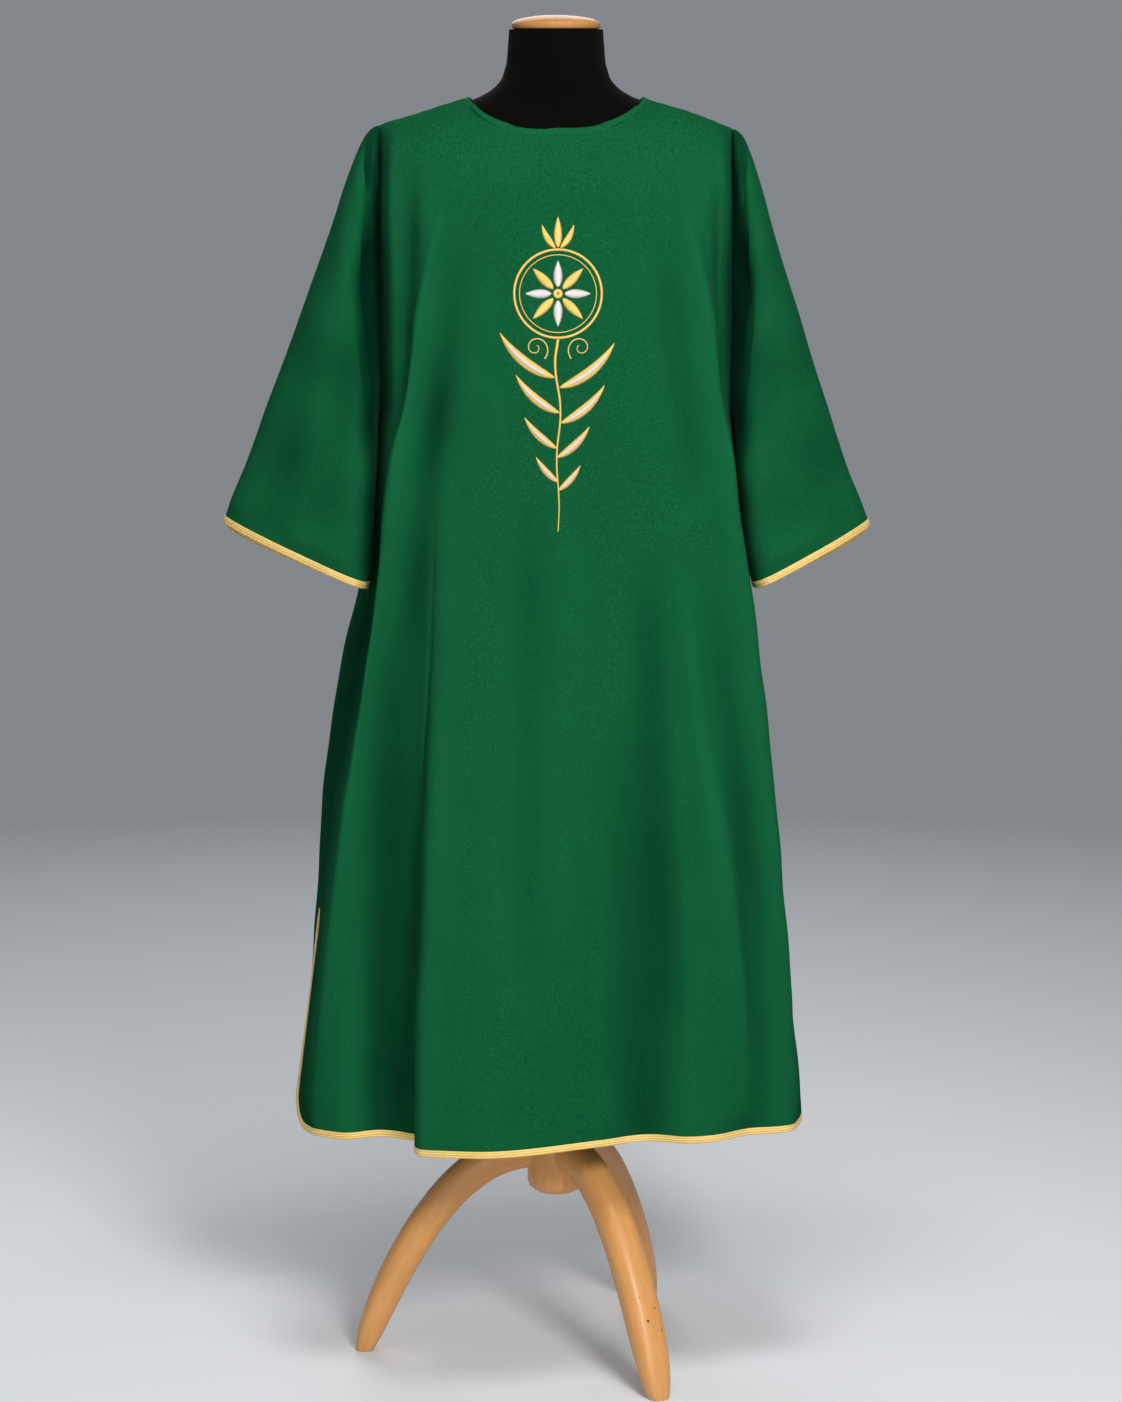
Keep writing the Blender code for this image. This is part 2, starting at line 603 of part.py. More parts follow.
def back_limit(points):
    points = points.copy()
    points[..., 1] = np.maximum(points[..., 1], SEAM / 2.0)
    return armhole_limit(points)


def armhole_limit(points):
    reach = ARMHOLE_X - SEAM / 2.0
    above = points[..., 2] > ARMPIT_Z - 0.0001
    points[..., 0] = np.where(above, np.clip(points[..., 0], -reach, reach), points[..., 0])
    return points


def sleeve_limit(side):
    def limit(points):
        points = points.copy()
        points[..., 0] = side * np.maximum(side * points[..., 0], ARMHOLE_X + SEAM / 2.0)
        return points

    return limit


def build_panel(name, face, limit, materials, collection):
    """One body panel and the gold binding along its slits, corners and hem."""
    s = PANEL_COLUMNS
    corners = [corner(angle, BINDING_W) for angle in CORNER_ANGLES]
    finished_corners = [corner(angle, 0.0) for angle in CORNER_ANGLES]
    rows = [shoulder(s, share, face) for share in SHOULDER_SHARES]
    rows += [panel_row(s, z, 0.0, face) for z in PANEL_HEIGHTS]
    first = len(rows)
    rows += [panel_row(s, z, side_inset(z), face) for z in SLIT_HEIGHTS]
    rows += [panel_row(s, HEM_Z + high, inset, face) for high, inset in corners]
    grid = np.array(rows)
    _, outer, inner = thick_grid(name, grid, False, face, limit, materials["green"], collection)

    sides = [panel_row(s, z, 0.0, face) for z in SLIT_HEIGHTS]
    sides += [panel_row(s, HEM_Z + high, inset, face) for high, inset in finished_corners]
    sides = limit(np.array(sides))
    down = range(first + 1, len(rows))
    path = [(row, 0) for row in down]
    path += [(len(rows) - 1, col) for col in range(1, len(s) - 1)]
    path += [(row, len(s) - 1) for row in reversed(down)]
    cloth_outer = np.array([outer[at] for at in path])
    cloth_inner = np.array([inner[at] for at in path])
    finished = np.array([sides[row - first, col] for row, col in path])
    trim = "trim_front" if face < 0 else "trim_back"
    binding(trim, cloth_outer, cloth_inner, finished, False, materials["gold"], collection)
    return outer, inner


def build_neck_binding(front, back, materials, collection):
    """Self fabric folded over the neckline's edge, all round."""
    neck = np.abs(PANEL_COLUMNS) <= NECK_AT
    s = PANEL_COLUMNS[neck]
    rings = []
    for layer in (0, 1):
        ring = np.concatenate([front[layer][0][neck], back[layer][0][neck][::-1][1:-1]])
        ring[[0, len(s) - 1], 1] = 0.0
        rings.append(ring)
    edge_front = shoulder(s, 0.0, -1.0, 0.0)
    edge_back = shoulder(s, 0.0, 1.0, 0.0)[::-1][1:-1]
    finished = np.concatenate([edge_front, edge_back])
    binding("neck_binding", *rings, finished, True, materials["green"], collection)


def build_sleeves(materials, collection):
    shares = [0.0, 0.03, 0.07, 0.14, 0.26, 0.40, 0.55, 0.70, 0.85]
    turns = np.linspace(0.0, 2.0 * math.pi, 25)[:-1]
    for side, name, table in ((-1.0, "left", SLEEVE_LEFT), (1.0, "right", SLEEVE_RIGHT)):
        rows = [sleeve_point(table, side, np.full_like(turns, share), turns) for share in shares]
        rows.append(sleeve_point(table, side, before_cuff(table, side, turns, BINDING_W), turns))
        _, outer, inner = thick_grid(
            f"sleeve_{name}", np.array(rows), True, side, sleeve_limit(side), materials["green"], collection
        )
        finished = sleeve_point(table, side, np.ones_like(turns), turns)
        trim = f"trim_sleeve_{name}"
        binding(trim, outer[-1], inner[-1], finished, True, materials["gold"], collection)


# ---------------------------------------------------------------- the dress form
def build_torso(materials, collection):
    """Neck, shoulders and trunk in one padded block, lofted through its sections."""
    turns = np.linspace(0.0, 2.0 * math.pi, TORSO_SIDES + 1)[:-1]
    points = []
    for z, half_width, front, back, power in TORSO:
        x = half_width * signed_power(np.sin(turns), 2.0 / power)
        y = signed_power(np.cos(turns), 2.0 / power)
        y = np.where(y > 0, -front * y, -back * y)
        points += [(px, py, z) for px, py in zip(x, y)]
    faces = []
    for row in range(len(TORSO) - 1):
        for i in range(TORSO_SIDES):
            j = (i + 1) % TORSO_SIDES
            low, high = row * TORSO_SIDES, (row + 1) * TORSO_SIDES
            faces.append([low + i, low + j, high + j, high + i])
    faces.append(list(range(TORSO_SIDES))[::-1])
    top = (len(TORSO) - 1) * TORSO_SIDES
    faces.append([top + i for i in range(TORSO_SIDES)])
    add_mesh("form_torso", points, faces, materials["black"], collection)


def build_stand(materials, collection):
    top = TORSO[-1][0] + SEAM
    rim = top + CAP_RIM_H
    dome = [(0.0, top + CAP_H)]
    for turn in np.linspace(0.0, math.pi / 2, 7)[1:]:
        dome.append((CAP_R * math.sin(turn), rim + (CAP_H - CAP_RIM_H) * math.cos(turn)))
    foot = [(CAP_R - 0.001, top + 0.001), (CAP_R - 0.004, top), (0.0, top)]
    turned("form_neck_cap", dome + foot, 32, materials["wood"], collection)
    low, high = HUB_Z
    above, below = TORSO[0][0] - SEAM, high + SEAM
    rod = [(0.0, above), (POLE_R, above), (POLE_R, below), (0.0, below)]
    turned("form_pole", rod, 20, materials["wood"], collection)
    turned(
        "form_hub",
        [
            (0.0, high),
            (POLE_R + 0.004, high),
            (POLE_R + 0.008, high - 0.006),
            (HUB_R - 0.004, high - 0.020),
            (HUB_R, high - 0.026),
            (HUB_R, low + 0.012),
            (HUB_R - 0.010, low + 0.002),
            (HUB_R - 0.016, low),
            (0.0, low),
        ],
        24,
        materials["wood"],
        collection,
    )


def build_legs(materials, collection, cutters):
    """Three bent wooden legs, cut flat at the floor and hollowed to meet the hub."""
    bpy.ops.mesh.primitive_cylinder_add(vertices=48, radius=HUB_R + SEAM, depth=0.4, location=(0, 0, 0.25))
    hub_cutter = bpy.context.object
    bpy.ops.mesh.primitive_cube_add(size=1.0, location=(0, 0, -0.5))
    floor_cutter = bpy.context.object
    for cutter, name in ((hub_cutter, "hub_cutter"), (floor_cutter, "floor_cutter")):
        cutter.name = name
        cutter.hide_render = True
        cutter.display_type = "WIRE"
        for holder in cutter.users_collection:
            holder.objects.unlink(cutter)
        cutters.objects.link(cutter)
    rows = np.array(LEG)
    path = rows[:, :2]
    along = np.gradient(path, axis=0)
    along /= np.linalg.norm(along, axis=1, keepdims=True)
    turns = np.linspace(0.0, 2.0 * math.pi, LEG_SIDES + 1)[:-1]
    for k, angle in enumerate(LEG_ANGLES):
        points = []
        for (out, z), (a_out, a_z), (_, _, half_w, half_h) in zip(path, along, LEG):
            wide = half_w * signed_power(np.sin(turns), 2.0 / 2.4)
            high = half_h * signed_power(np.cos(turns), 2.0 / 2.4)
            points += [(w, out - a_z * h, z + a_out * h) for w, h in zip(wide, high)]
        faces = []
        for row in range(len(LEG) - 1):
            for i in range(LEG_SIDES):
                j = (i + 1) % LEG_SIDES
                low, high = row * LEG_SIDES, (row + 1) * LEG_SIDES
                faces.append([low + i, low + j, high + j, high + i])
        faces.append(list(range(LEG_SIDES))[::-1])
        end = (len(LEG) - 1) * LEG_SIDES
        faces.append([end + i for i in range(LEG_SIDES)])
        leg = add_mesh(f"leg_{k + 1}", points, faces, materials["wood"], collection)
        leg.rotation_euler[2] = math.radians(180.0 + angle)
        for cutter in (hub_cutter, floor_cutter):
            cut = leg.modifiers.new(cutter.name, "BOOLEAN")
            cut.operation = "DIFFERENCE"
            cut.object = cutter


def main():
    for old in list(bpy.data.objects):
        bpy.data.objects.remove(old, do_unlink=True)
    collection = bpy.data.collections.new("dalmatic_on_dress_form")
    cutters = bpy.data.collections.new("cutters")
    bpy.context.scene.collection.children.link(collection)
    bpy.context.scene.collection.children.link(cutters)
    materials = {
        "green": plain_material("green gabardine", GREEN, 0.75),
        "gold": plain_material("gold binding", GOLD, 0.45, 0.3),
        "black": plain_material("black jersey", BLACK, 0.85),
        "wood": plain_material("oiled beech", WOOD, 0.4),
    }
    front = build_panel("front_body", -1.0, front_limit, materials, collection)
    back = build_panel("back_body", 1.0, back_limit, materials, collection)
    build_neck_binding(front, back, materials, collection)
    build_sleeves(materials, collection)
    build_torso(materials, collection)
    build_stand(materials, collection)
    build_legs(materials, collection, cutters)
    stand = bpy.data.objects.new("stand_axis", None)
    stand.location.x = AXIS_X
    collection.objects.link(stand)
    for made in [*collection.objects, *cutters.objects]:
        if made is not stand:
            made.parent = stand


main()
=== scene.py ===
"""A green dalmatic with gold bindings and chest embroidery, on a wooden dress form."""

import math

import bmesh
import bpy
import numpy as np
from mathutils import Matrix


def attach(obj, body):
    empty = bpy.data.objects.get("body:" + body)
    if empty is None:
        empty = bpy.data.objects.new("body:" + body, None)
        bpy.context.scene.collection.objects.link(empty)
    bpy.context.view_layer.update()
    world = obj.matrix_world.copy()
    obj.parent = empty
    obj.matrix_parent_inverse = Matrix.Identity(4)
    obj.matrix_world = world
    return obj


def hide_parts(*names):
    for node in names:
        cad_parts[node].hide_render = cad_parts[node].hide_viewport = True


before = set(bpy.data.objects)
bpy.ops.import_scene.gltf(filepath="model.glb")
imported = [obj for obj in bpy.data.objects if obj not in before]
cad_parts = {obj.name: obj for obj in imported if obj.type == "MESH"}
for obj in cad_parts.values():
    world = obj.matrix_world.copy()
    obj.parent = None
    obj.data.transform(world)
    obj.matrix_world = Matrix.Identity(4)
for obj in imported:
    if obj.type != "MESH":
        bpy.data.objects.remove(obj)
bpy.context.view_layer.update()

# ------------------------------------------------------------------ the studio
# A pale floor that fades into a pale room, lit by two soft boxes in front, one overhead,
# a large one behind and the light of the room. The camera stands a little above the
# shoulders and looks slightly down.
FLOOR_SIZE = 80.0
FLOOR_FADES = (0.9, 4.0)
ROOM_COLOUR = (0.76, 0.80, 0.86)
ROOM_STRENGTH = 0.30
SOFT_BOXES = [
    # name, x, y, z, size, watts, aimed at height
    ("key", 1.10, -3.8, 2.50, 0.8, 112.0, 0.95),
    ("fill", 0.0, -5.9, 1.0, 1.2, 66.0, 0.80),
    ("top", 0.1, -1.5, 4.2, 1.2, 62.0, 1.20),
    ("back", -0.6, 4.4, 3.2, 3.0, 90.0, 0.95),
]
CAMERA_PLACE = (0.017, -5.2, 1.587)
CAMERA_PITCH = 8.3
CAMERA_LENS = 108.95

scene = bpy.context.scene
scene.view_settings.view_transform = "Standard"
camera = bpy.data.objects.new("camera", bpy.data.cameras.new("camera"))
camera.data.lens = CAMERA_LENS
camera.data.sensor_width = 36.0
camera.location = CAMERA_PLACE
camera.rotation_euler = (math.radians(90.0 - CAMERA_PITCH), 0.0, 0.0)
scene.collection.objects.link(camera)
scene.camera = camera

for name, x, y, z, size, watts, aim in SOFT_BOXES:
    box = bpy.data.objects.new(name, bpy.data.lights.new(name, "AREA"))
    box.data.size = size
    box.data.energy = watts
    box.location = (x, y, z)
    toward = np.array([0.0, 0.0, aim]) - (x, y, z)
    pitch = math.atan2(math.hypot(toward[0], toward[1]), -toward[2])
    box.rotation_euler = (pitch, 0.0, math.atan2(toward[1], toward[0]) - math.pi / 2.0)
    scene.collection.objects.link(box)

world = bpy.data.worlds.new("room")
world.use_nodes = True
world.node_tree.nodes["Background"].inputs["Color"].default_value = (*ROOM_COLOUR, 1.0)
world.node_tree.nodes["Background"].inputs["Strength"].default_value = ROOM_STRENGTH
scene.world = world


class Value:
    """A shader socket: sums and products of two of them add the Math nodes."""

    def __init__(self, tree, socket):
        self.tree = tree
        self.socket = socket

    def node(self, kind, settings, sockets, out=0):
        """Adds a node: its settings first, then what each of its sockets holds."""
        made = self.tree.nodes.new(kind)
        for name, setting in settings.items():
            setattr(made, name, setting)
        for name, held in sockets.items():
            if isinstance(held, Value):
                self.tree.links.new(held.socket, made.inputs[name])
            else:
                made.inputs[name].default_value = held
        return Value(self.tree, made.outputs[out])

    def math(self, operation, a, b=0.0):
        return self.node("ShaderNodeMath", {"operation": operation}, {0: a, 1: b})

    def __add__(self, other):
        return self.math("ADD", self, other)

    def __mul__(self, other):
        return self.math("MULTIPLY", self, other)

    def __sub__(self, other):
        return self.math("SUBTRACT", self, other)

    def __rsub__(self, other):
        return self.math("SUBTRACT", other, self)

    def __truediv__(self, other):
        return self.math("DIVIDE", self, other)

    __radd__ = __add__

    def wave(self, pitch):
        """A wave from 0 to 1 that repeats once for each pitch."""
        return self.math("SINE", self * (2.0 * math.pi / pitch)) * 0.5 + 0.5

    def limited(self):
        return self.math("MAXIMUM", self.math("MINIMUM", self, 1.0), 0.0)

    def mix(self, a, b):
        """Colour a where this value is 0, colour b where it is 1."""
        sides = {0: self, 6: a if isinstance(a, Value) else (*a, 1.0)}
        sides[7] = b if isinstance(b, Value) else (*b, 1.0)
        return self.node("ShaderNodeMix", {"data_type": "RGBA"}, sides, out=2)

    def noise(self, scale, detail=2.0, roughness=0.5):
        """Cloudy noise over this vector, from 0 to 1."""
        sockets = {"Vector": self, "Scale": scale, "Detail": detail, "Roughness": roughness}
        return self.node("ShaderNodeTexNoise", {}, sockets)

    def stretched(self, x, y, z):
        """This vector with its three parts multiplied, which stretches a pattern over it."""
        sides = {0: self, 1: (x, y, z)}
        return self.node("ShaderNodeVectorMath", {"operation": "MULTIPLY"}, sides)

    def part(self, which):
        return self.node("ShaderNodeSeparateXYZ", {}, {0: self}, out=which)


def finish(name, constants):
    """A new material with its plain numbers set, and the place on the piece it covers."""
    material = bpy.data.materials.new(name)
    material.use_nodes = True
    tree = material.node_tree
    shader = tree.nodes["Principled BSDF"]
    for socket, number in constants.items():
        shader.inputs[socket].default_value = number
    lay = Value(tree, None).node("ShaderNodeAttribute", {"attribute_name": "lay"}, {}, out=1)
    return material, shader, lay


def feed(shader, sockets):
    for name, value in sockets.items():
        value.tree.links.new(value.socket, shader.inputs[name])


def bumped(height, strength, distance):
    sockets = {"Height": height, "Strength": strength, "Distance": distance}
    return height.node("ShaderNodeBump", {}, sockets)


floor_mesh = bpy.data.meshes.new("floor")
half_floor = FLOOR_SIZE / 2.0
floor_corners = [(-half_floor, -half_floor, 0), (half_floor, -half_floor, 0)]
floor_corners += [(half_floor, half_floor, 0), (-half_floor, half_floor, 0)]
floor_mesh.from_pydata(floor_corners, [], [(0, 1, 2, 3)])
floor = bpy.data.objects.new("floor", floor_mesh)
scene.collection.objects.link(floor)
floor_finish, floor_shader, _ = finish("pale floor", {"Roughness": 0.85})
place = Value(floor_finish.node_tree, None).node("ShaderNodeNewGeometry", {}, {})
feed(floor_shader, {"Base Color": place.noise(0.8).mix((0.70, 0.71, 0.73), (0.76, 0.77, 0.78))})
far = place.node("ShaderNodeVectorMath", {"operation": "LENGTH"}, {0: place}, out=1)
far = ((far - FLOOR_FADES[0]) / (FLOOR_FADES[1] - FLOOR_FADES[0])).limited()
haze = {"Color": (*ROOM_COLOUR, 1.0), "Strength": ROOM_STRENGTH}
haze = place.node("ShaderNodeEmission", {}, haze)
near = Value(place.tree, floor_shader.outputs["BSDF"])
faded = place.node("ShaderNodeMixShader", {}, {0: far, 1: near, 2: haze})
surface = floor_finish.node_tree.nodes["Material Output"].inputs["Surface"]
floor_finish.node_tree.links.new(faded.socket, surface)
floor_mesh.materials.append(floor_finish)

# ------------------------------------------------------------------ front and back
# Two panels of dark green twill, cut with straight armholes and a flare, closed at the
# shoulders and at the sides down to the slits. They hang from the shoulders in a few
# long soft folds. Each is one sheet with its turnings, so a wall of 2 mm.
AXIS_X = 0.0110
WALL = 0.0020
SEAM = 0.0001
HEM_Z = 0.3060
SLIT_TOP_Z = 0.5750
FRONT_PARTING = (0.0460, 0.0180)
BACK_PARTING = (0.0180, 0.0150)
CORNER_R = 0.0440
CHEST_Z = 1.4400
ARMPIT_Z = 1.1900
ARMHOLE_X = 0.2140
ARMHOLE_DEPTH = 0.0250
ARMHOLE_SWELL = 1.60
SWELL_AT, SWELL_REACH, SWELL_FADE = 0.10, 0.12, 0.05
FOLD_LEAN = 0.0130
FOLD_FOOT_AT = 0.36
FOLD_FOLLOWED_OVER = 0.30
FOLD_STEEPNESS = 13.0
NECK_X = 0.1045
NECK_FRONT = 0.0990
NECK_BACK = 0.0700
NECK_SQUARENESS = 2.8
NECK_SIDE_Z = 1.5690
SHOULDER_FALL = (0.3050, 0.3450)
BINDING_W = 0.0090
NECK_BINDING_W = 0.0055
BINDING_START = 0.0250
SIDE_AT, EDGE_AT, RIDGE_AT, NECK_AT = 1.0, 0.86, 0.62, 0.5
DRAWN_IN_FROM = 0.70
SECTION_SOFTNESS = 0.030
HEIGHT_SOFTNESS = 0.07
SLEEVE_SQUARENESS = 2.7

SIDE_SEAM = [
    # z, left, right
    (1.190, 0.214, 0.214),
    (1.120, 0.2180, 0.2190),
    (1.050, 0.2220, 0.2245),
    (0.980, 0.2280, 0.2320),
    (0.850, 0.256, 0.246),
    (0.700, 0.279, 0.262),
    (0.500, 0.303, 0.283),
    (0.306, 0.329, 0.300),
]
# Half sections: height, then x and y of the edge beside the armhole and of the ridge
# that runs from the chest to the hem's corner.
FRONT_LEFT = [
    # z, edge_x, edge_y, ridge_x, ridge_y
    (1.440, 0.2014, -0.095, 0.160, -0.113),
    (1.363, 0.2014, -0.092, 0.152, -0.125),
    (1.294, 0.2014, -0.086, 0.163, -0.128),
    (1.190, 0.2030, -0.084, 0.190, -0.128),
    (1.080, 0.2090, -0.076, 0.208, -0.132),
    (0.980, 0.2140, -0.055, 0.222, -0.136),
    (0.850, 0.2440, -0.058, 0.243, -0.142),
    (0.700, 0.2690, -0.062, 0.266, -0.146),
    (0.500, 0.2980, -0.072, 0.291, -0.142),
    (0.306, 0.3170, -0.080, 0.298, -0.118),
]
FRONT_RIGHT = [
    # z, edge_x, edge_y, ridge_x, ridge_y
    (1.440, 0.2055, -0.095, 0.166, -0.113),
    (1.363, 0.2055, -0.092, 0.170, -0.123),
    (1.294, 0.2060, -0.086, 0.183, -0.126),
    (1.190, 0.2080, -0.082, 0.204, -0.126),
    (1.080, 0.2160, -0.074, 0.221, -0.128),
    (0.980, 0.2260, -0.062, 0.240, -0.128),
    (0.850, 0.2480, -0.060, 0.254, -0.130),
    (0.700, 0.2660, -0.058, 0.270, -0.130),
    (0.500, 0.2880, -0.052, 0.290, -0.122),
    (0.306, 0.3080, -0.042, 0.293, -0.098),
]
BACK_LEFT = [
    # z, edge_x, edge_y, ridge_x, ridge_y
    (1.440, 0.2030, 0.082, 0.160, 0.108),
    (1.294, 0.2060, 0.088, 0.172, 0.124),
    (1.190, 0.2137, 0.090, 0.192, 0.130),
    (1.155, 0.2230, 0.093, 0.206, 0.133),
    (1.080, 0.2310, 0.095, 0.222, 0.138),
    (0.980, 0.2400, 0.090, 0.240, 0.143),
    (0.850, 0.2790, 0.060, 0.252, 0.149),
    (0.700, 0.2950, 0.048, 0.264, 0.155),
    (0.500, 0.3080, 0.048, 0.277, 0.160),
    (0.306, 0.3180, 0.058, 0.288, 0.158),
]
BACK_RIGHT = [
    # z, edge_x, edge_y, ridge_x, ridge_y
    (1.440, 0.2050, 0.082, 0.160, 0.108),
    (1.294, 0.2060, 0.088, 0.172, 0.124),
    (1.190, 0.2137, 0.090, 0.192, 0.130),
    (1.155, 0.2230, 0.093, 0.206, 0.133),
    (1.080, 0.2310, 0.093, 0.222, 0.137),
    (0.980, 0.2390, 0.084, 0.238, 0.141),
    (0.850, 0.2500, 0.066, 0.248, 0.147),
    (0.700, 0.2660, 0.058, 0.258, 0.151),
    (0.500, 0.2860, 0.058, 0.270, 0.155),
    (0.306, 0.3000, 0.062, 0.278, 0.152),
]
MIDDLE = [
    # z, front_y, back_y
    (1.440, -0.128, 0.120),
    (1.300, -0.146, 0.142),
    (1.150, -0.154, 0.148),
    (0.900, -0.166, 0.160),
    (0.600, -0.176, 0.176),
    (0.306, -0.172, 0.186),
]
# The long folds that the solids have too.
FRONT_FOLDS = [
    # name, x at the top, x at the hem, top z, full z, deep, width left, right
    ("main", -0.056, -0.0875, 1.120, 0.360, 0.066, 0.082, 0.180),
    ("left valley", -0.170, -0.208, 1.080, 0.420, -0.020, 0.055, 0.060),
    ("left ridge", -0.200, -0.262, 0.900, 0.400, 0.008, 0.045, 0.045),
    ("middle valley", 0.080, 0.108, 1.000, 0.420, -0.014, 0.055, 0.055),
    ("right ridge", 0.125, 0.178, 1.050, 0.420, 0.012, 0.060, 0.070),
    ("outer valley", 0.165, 0.236, 1.050, 0.500, -0.008, 0.040, 0.045),
]
BACK_FOLDS = [
    # name, x at the top, x at the hem, top z, full z, deep, width left, right
    ("left ridge", -0.110, -0.190, 1.250, 0.400, 0.030, 0.080, 0.070),
    ("left valley", -0.060, -0.095, 1.150, 0.420, -0.020, 0.060, 0.060),
    ("middle ridge", -0.010, -0.005, 1.100, 0.420, 0.028, 0.085, 0.095),
    ("right valley", 0.075, 0.112, 1.180, 0.420, -0.018, 0.060, 0.060),
    ("right ridge", 0.125, 0.205, 1.250, 0.400, 0.026, 0.075, 0.080),
]

# Soft creases: a line on the panel from its first point to its second, how wide it is
# and how far it stands proud, or sinks where the number is negative.
FRONT_CREASES = [
    # name, x from, z from, x to, z to, wide, deep
    ("left ridge top", -0.134, 1.450, -0.178, 1.260, 0.0060, 0.0044),
    ("left ridge middle", -0.164, 1.330, -0.208, 1.060, 0.0042, 0.0034),
    ("left facet", -0.172, 1.500, -0.197, 1.140, 0.0130, -0.0105),
    ("left breast hollow", -0.112, 1.430, -0.166, 1.080, 0.0260, -0.0092),
    ("right ridge top", 0.150, 1.450, 0.196, 1.260, 0.0085, 0.0050),
    ("right ridge middle", 0.184, 1.330, 0.218, 1.070, 0.0042, 0.0036),
    ("right facet", 0.196, 1.500, 0.205, 1.140, 0.0090, -0.0080),
    ("right breast hollow", 0.122, 1.420, 0.180, 1.060, 0.0240, -0.0080),
    ("waist hollow", -0.142, 1.300, -0.184, 0.880, 0.0220, -0.0120),
    ("left skirt hollow", -0.184, 1.080, -0.262, 0.350, 0.0420, -0.0160),
    ("left skirt ridge", -0.208, 1.060, -0.320, 0.420, 0.0090, 0.0016),
    ("fold lip", -0.1500, 1.080, -0.1740, 0.280, 0.0070, 0.0034),
    ("centre trough", -0.036, 1.160, -0.030, 0.440, 0.0260, -0.0070),
    ("centre swell", 0.024, 1.120, 0.004, 0.380, 0.0320, 0.0030),
    ("right trough", 0.104, 1.100, 0.150, 0.270, 0.0230, -0.0080),
    ("right ridge", 0.136, 1.080, 0.244, 0.300, 0.0150, 0.0060),
    ("right fill", 0.180, 0.860, 0.236, 0.250, 0.0220, 0.0150),
    ("outer right trough", 0.180, 1.060, 0.272, 0.440, 0.0160, -0.0045),
]
BACK_CREASES = [
    # name, x from, z from, x to, z to, wide, deep
    ("left blade streak", -0.105, 1.440, -0.160, 1.180, 0.0240, 0.0022),
    ("right blade streak", 0.100, 1.450, 0.150, 1.200, 0.0220, 0.0020),
    ("collar sag", -0.050, 1.500, 0.055, 1.496, 0.0140, -0.0014),
    ("left trough", -0.150, 1.060, -0.185, 0.330, 0.0200, -0.0030),
    ("left lip", -0.215, 0.960, -0.262, 0.360, 0.0120, 0.0024),
    ("middle trough", -0.045, 1.000, -0.052, 0.330, 0.0220, -0.0026),
    ("right trough", 0.058, 1.080, 0.070, 0.330, 0.0240, -0.0030),
    ("right lip", 0.152, 1.050, 0.196, 0.330, 0.0180, 0.0028),
    ("outer right trough", 0.200, 0.940, 0.246, 0.350, 0.0150, -0.0026),
]
# Small pleats that start at the shoulder beside an armhole.
PLEATS = [
    # side, face, out, top z, low z, wide, deep
    (-1.0, -1.0, 0.2080, 1.516, 1.300, 0.0024, 0.0100),
    (1.0, -1.0, 0.2090, 1.508, 1.320, 0.0022, 0.0090),
    (-1.0, 1.0, 0.2066, 1.512, 1.320, 0.0030, 0.0160),
    (1.0, 1.0, 0.2070, 1.508, 1.290, 0.0030, 0.0180),
]
RIPPLES = [
    # across per metre, down per metre, phase, deep
    (7.0, 3.1, 0.4, 0.0007),
    (-5.0, 6.3, 2.1, 0.0005),
    (13.0, 2.3, 4.0, 0.0003),
    (3.0, 11.0, 1.2, 0.0003),
]


def soft(at, knots, values, reach):
    """Values joined by straight lines whose corners are rounded over +-reach."""
    knots, values = np.asarray(knots, float), np.asarray(values, float)
    if knots[0] > knots[-1]:
        knots, values = knots[::-1], values[::-1]
    first = (values[1] - values[0]) / (knots[1] - knots[0])
    last = (values[-1] - values[-2]) / (knots[-1] - knots[-2])
    knots = np.concatenate([[knots[0] - reach], knots, [knots[-1] + reach]])
    values = np.concatenate([[values[0] - first * reach], values, [values[-1] + last * reach]])
    steps = np.linspace(-reach, reach, 9)
    return np.mean([np.interp(np.asarray(at) + step, knots, values) for step in steps], axis=0)


def column(table, name_at, at, reach=HEIGHT_SOFTNESS):
    """One named column of a table, read at the heights or shares in its first column."""
    rows = np.array([row[:1] + (row[name_at],) for row in table], float)
    return soft(at, rows[:, 0], rows[:, 1], reach)


def smooth(x):
    x = np.clip(x, 0.0, 1.0)
    return x * x * (3.0 - 2.0 * x)


def signed_power(x, power):
    return np.sign(x) * np.abs(x) ** power


def swell(across):
    """How much wider an armhole is, across its height from 0 at the top to 1 below."""
    return ARMHOLE_SWELL * np.exp(-(((across - SWELL_AT) / SWELL_REACH) ** 2))


def armhole_width(z, side):
    """How far the armhole seam lies before or behind the shoulder line at a height."""
    top = shoulder_z(side * ARMHOLE_X)
    across = np.clip((top - z) / (top - ARMPIT_Z), 0.0, 1.0)
    oval = np.clip(1.0 - (across * 2.0 - 1.0) ** 2, 0.0, 1.0) ** (1.0 / SLEEVE_SQUARENESS)
    return ARMHOLE_DEPTH * oval * (1.0 + swell(across))


def shoulder_z(x):
    """Height of the shoulder line, and of the saddle that it makes inside the neck."""
    fall = np.where(x < 0, *SHOULDER_FALL)
    far = np.abs(x)
    far = np.where(far < NECK_X, (far**2 + NECK_X**2) / (2.0 * NECK_X), far)
    return NECK_SIDE_Z - fall * (far - NECK_X)


def side_point(z, side, face):
    """The end of a section: armhole seam, side seam or edge of the slit."""
    low = np.minimum(z, ARMPIT_Z)
    out = np.where(side < 0, column(SIDE_SEAM, 1, low, 0.03), column(SIDE_SEAM, 2, low, 0.03))
    parting = np.where(side < 0, *(FRONT_PARTING if face < 0 else BACK_PARTING))
    parting = parting * smooth((SLIT_TOP_Z - z) / (SLIT_TOP_Z - HEM_Z)) ** 1.2
    x = np.where(z >= ARMPIT_Z, ARMHOLE_X, out)
    y = np.where(z >= ARMPIT_Z, armhole_width(z, side), parting)
    return x, face * y


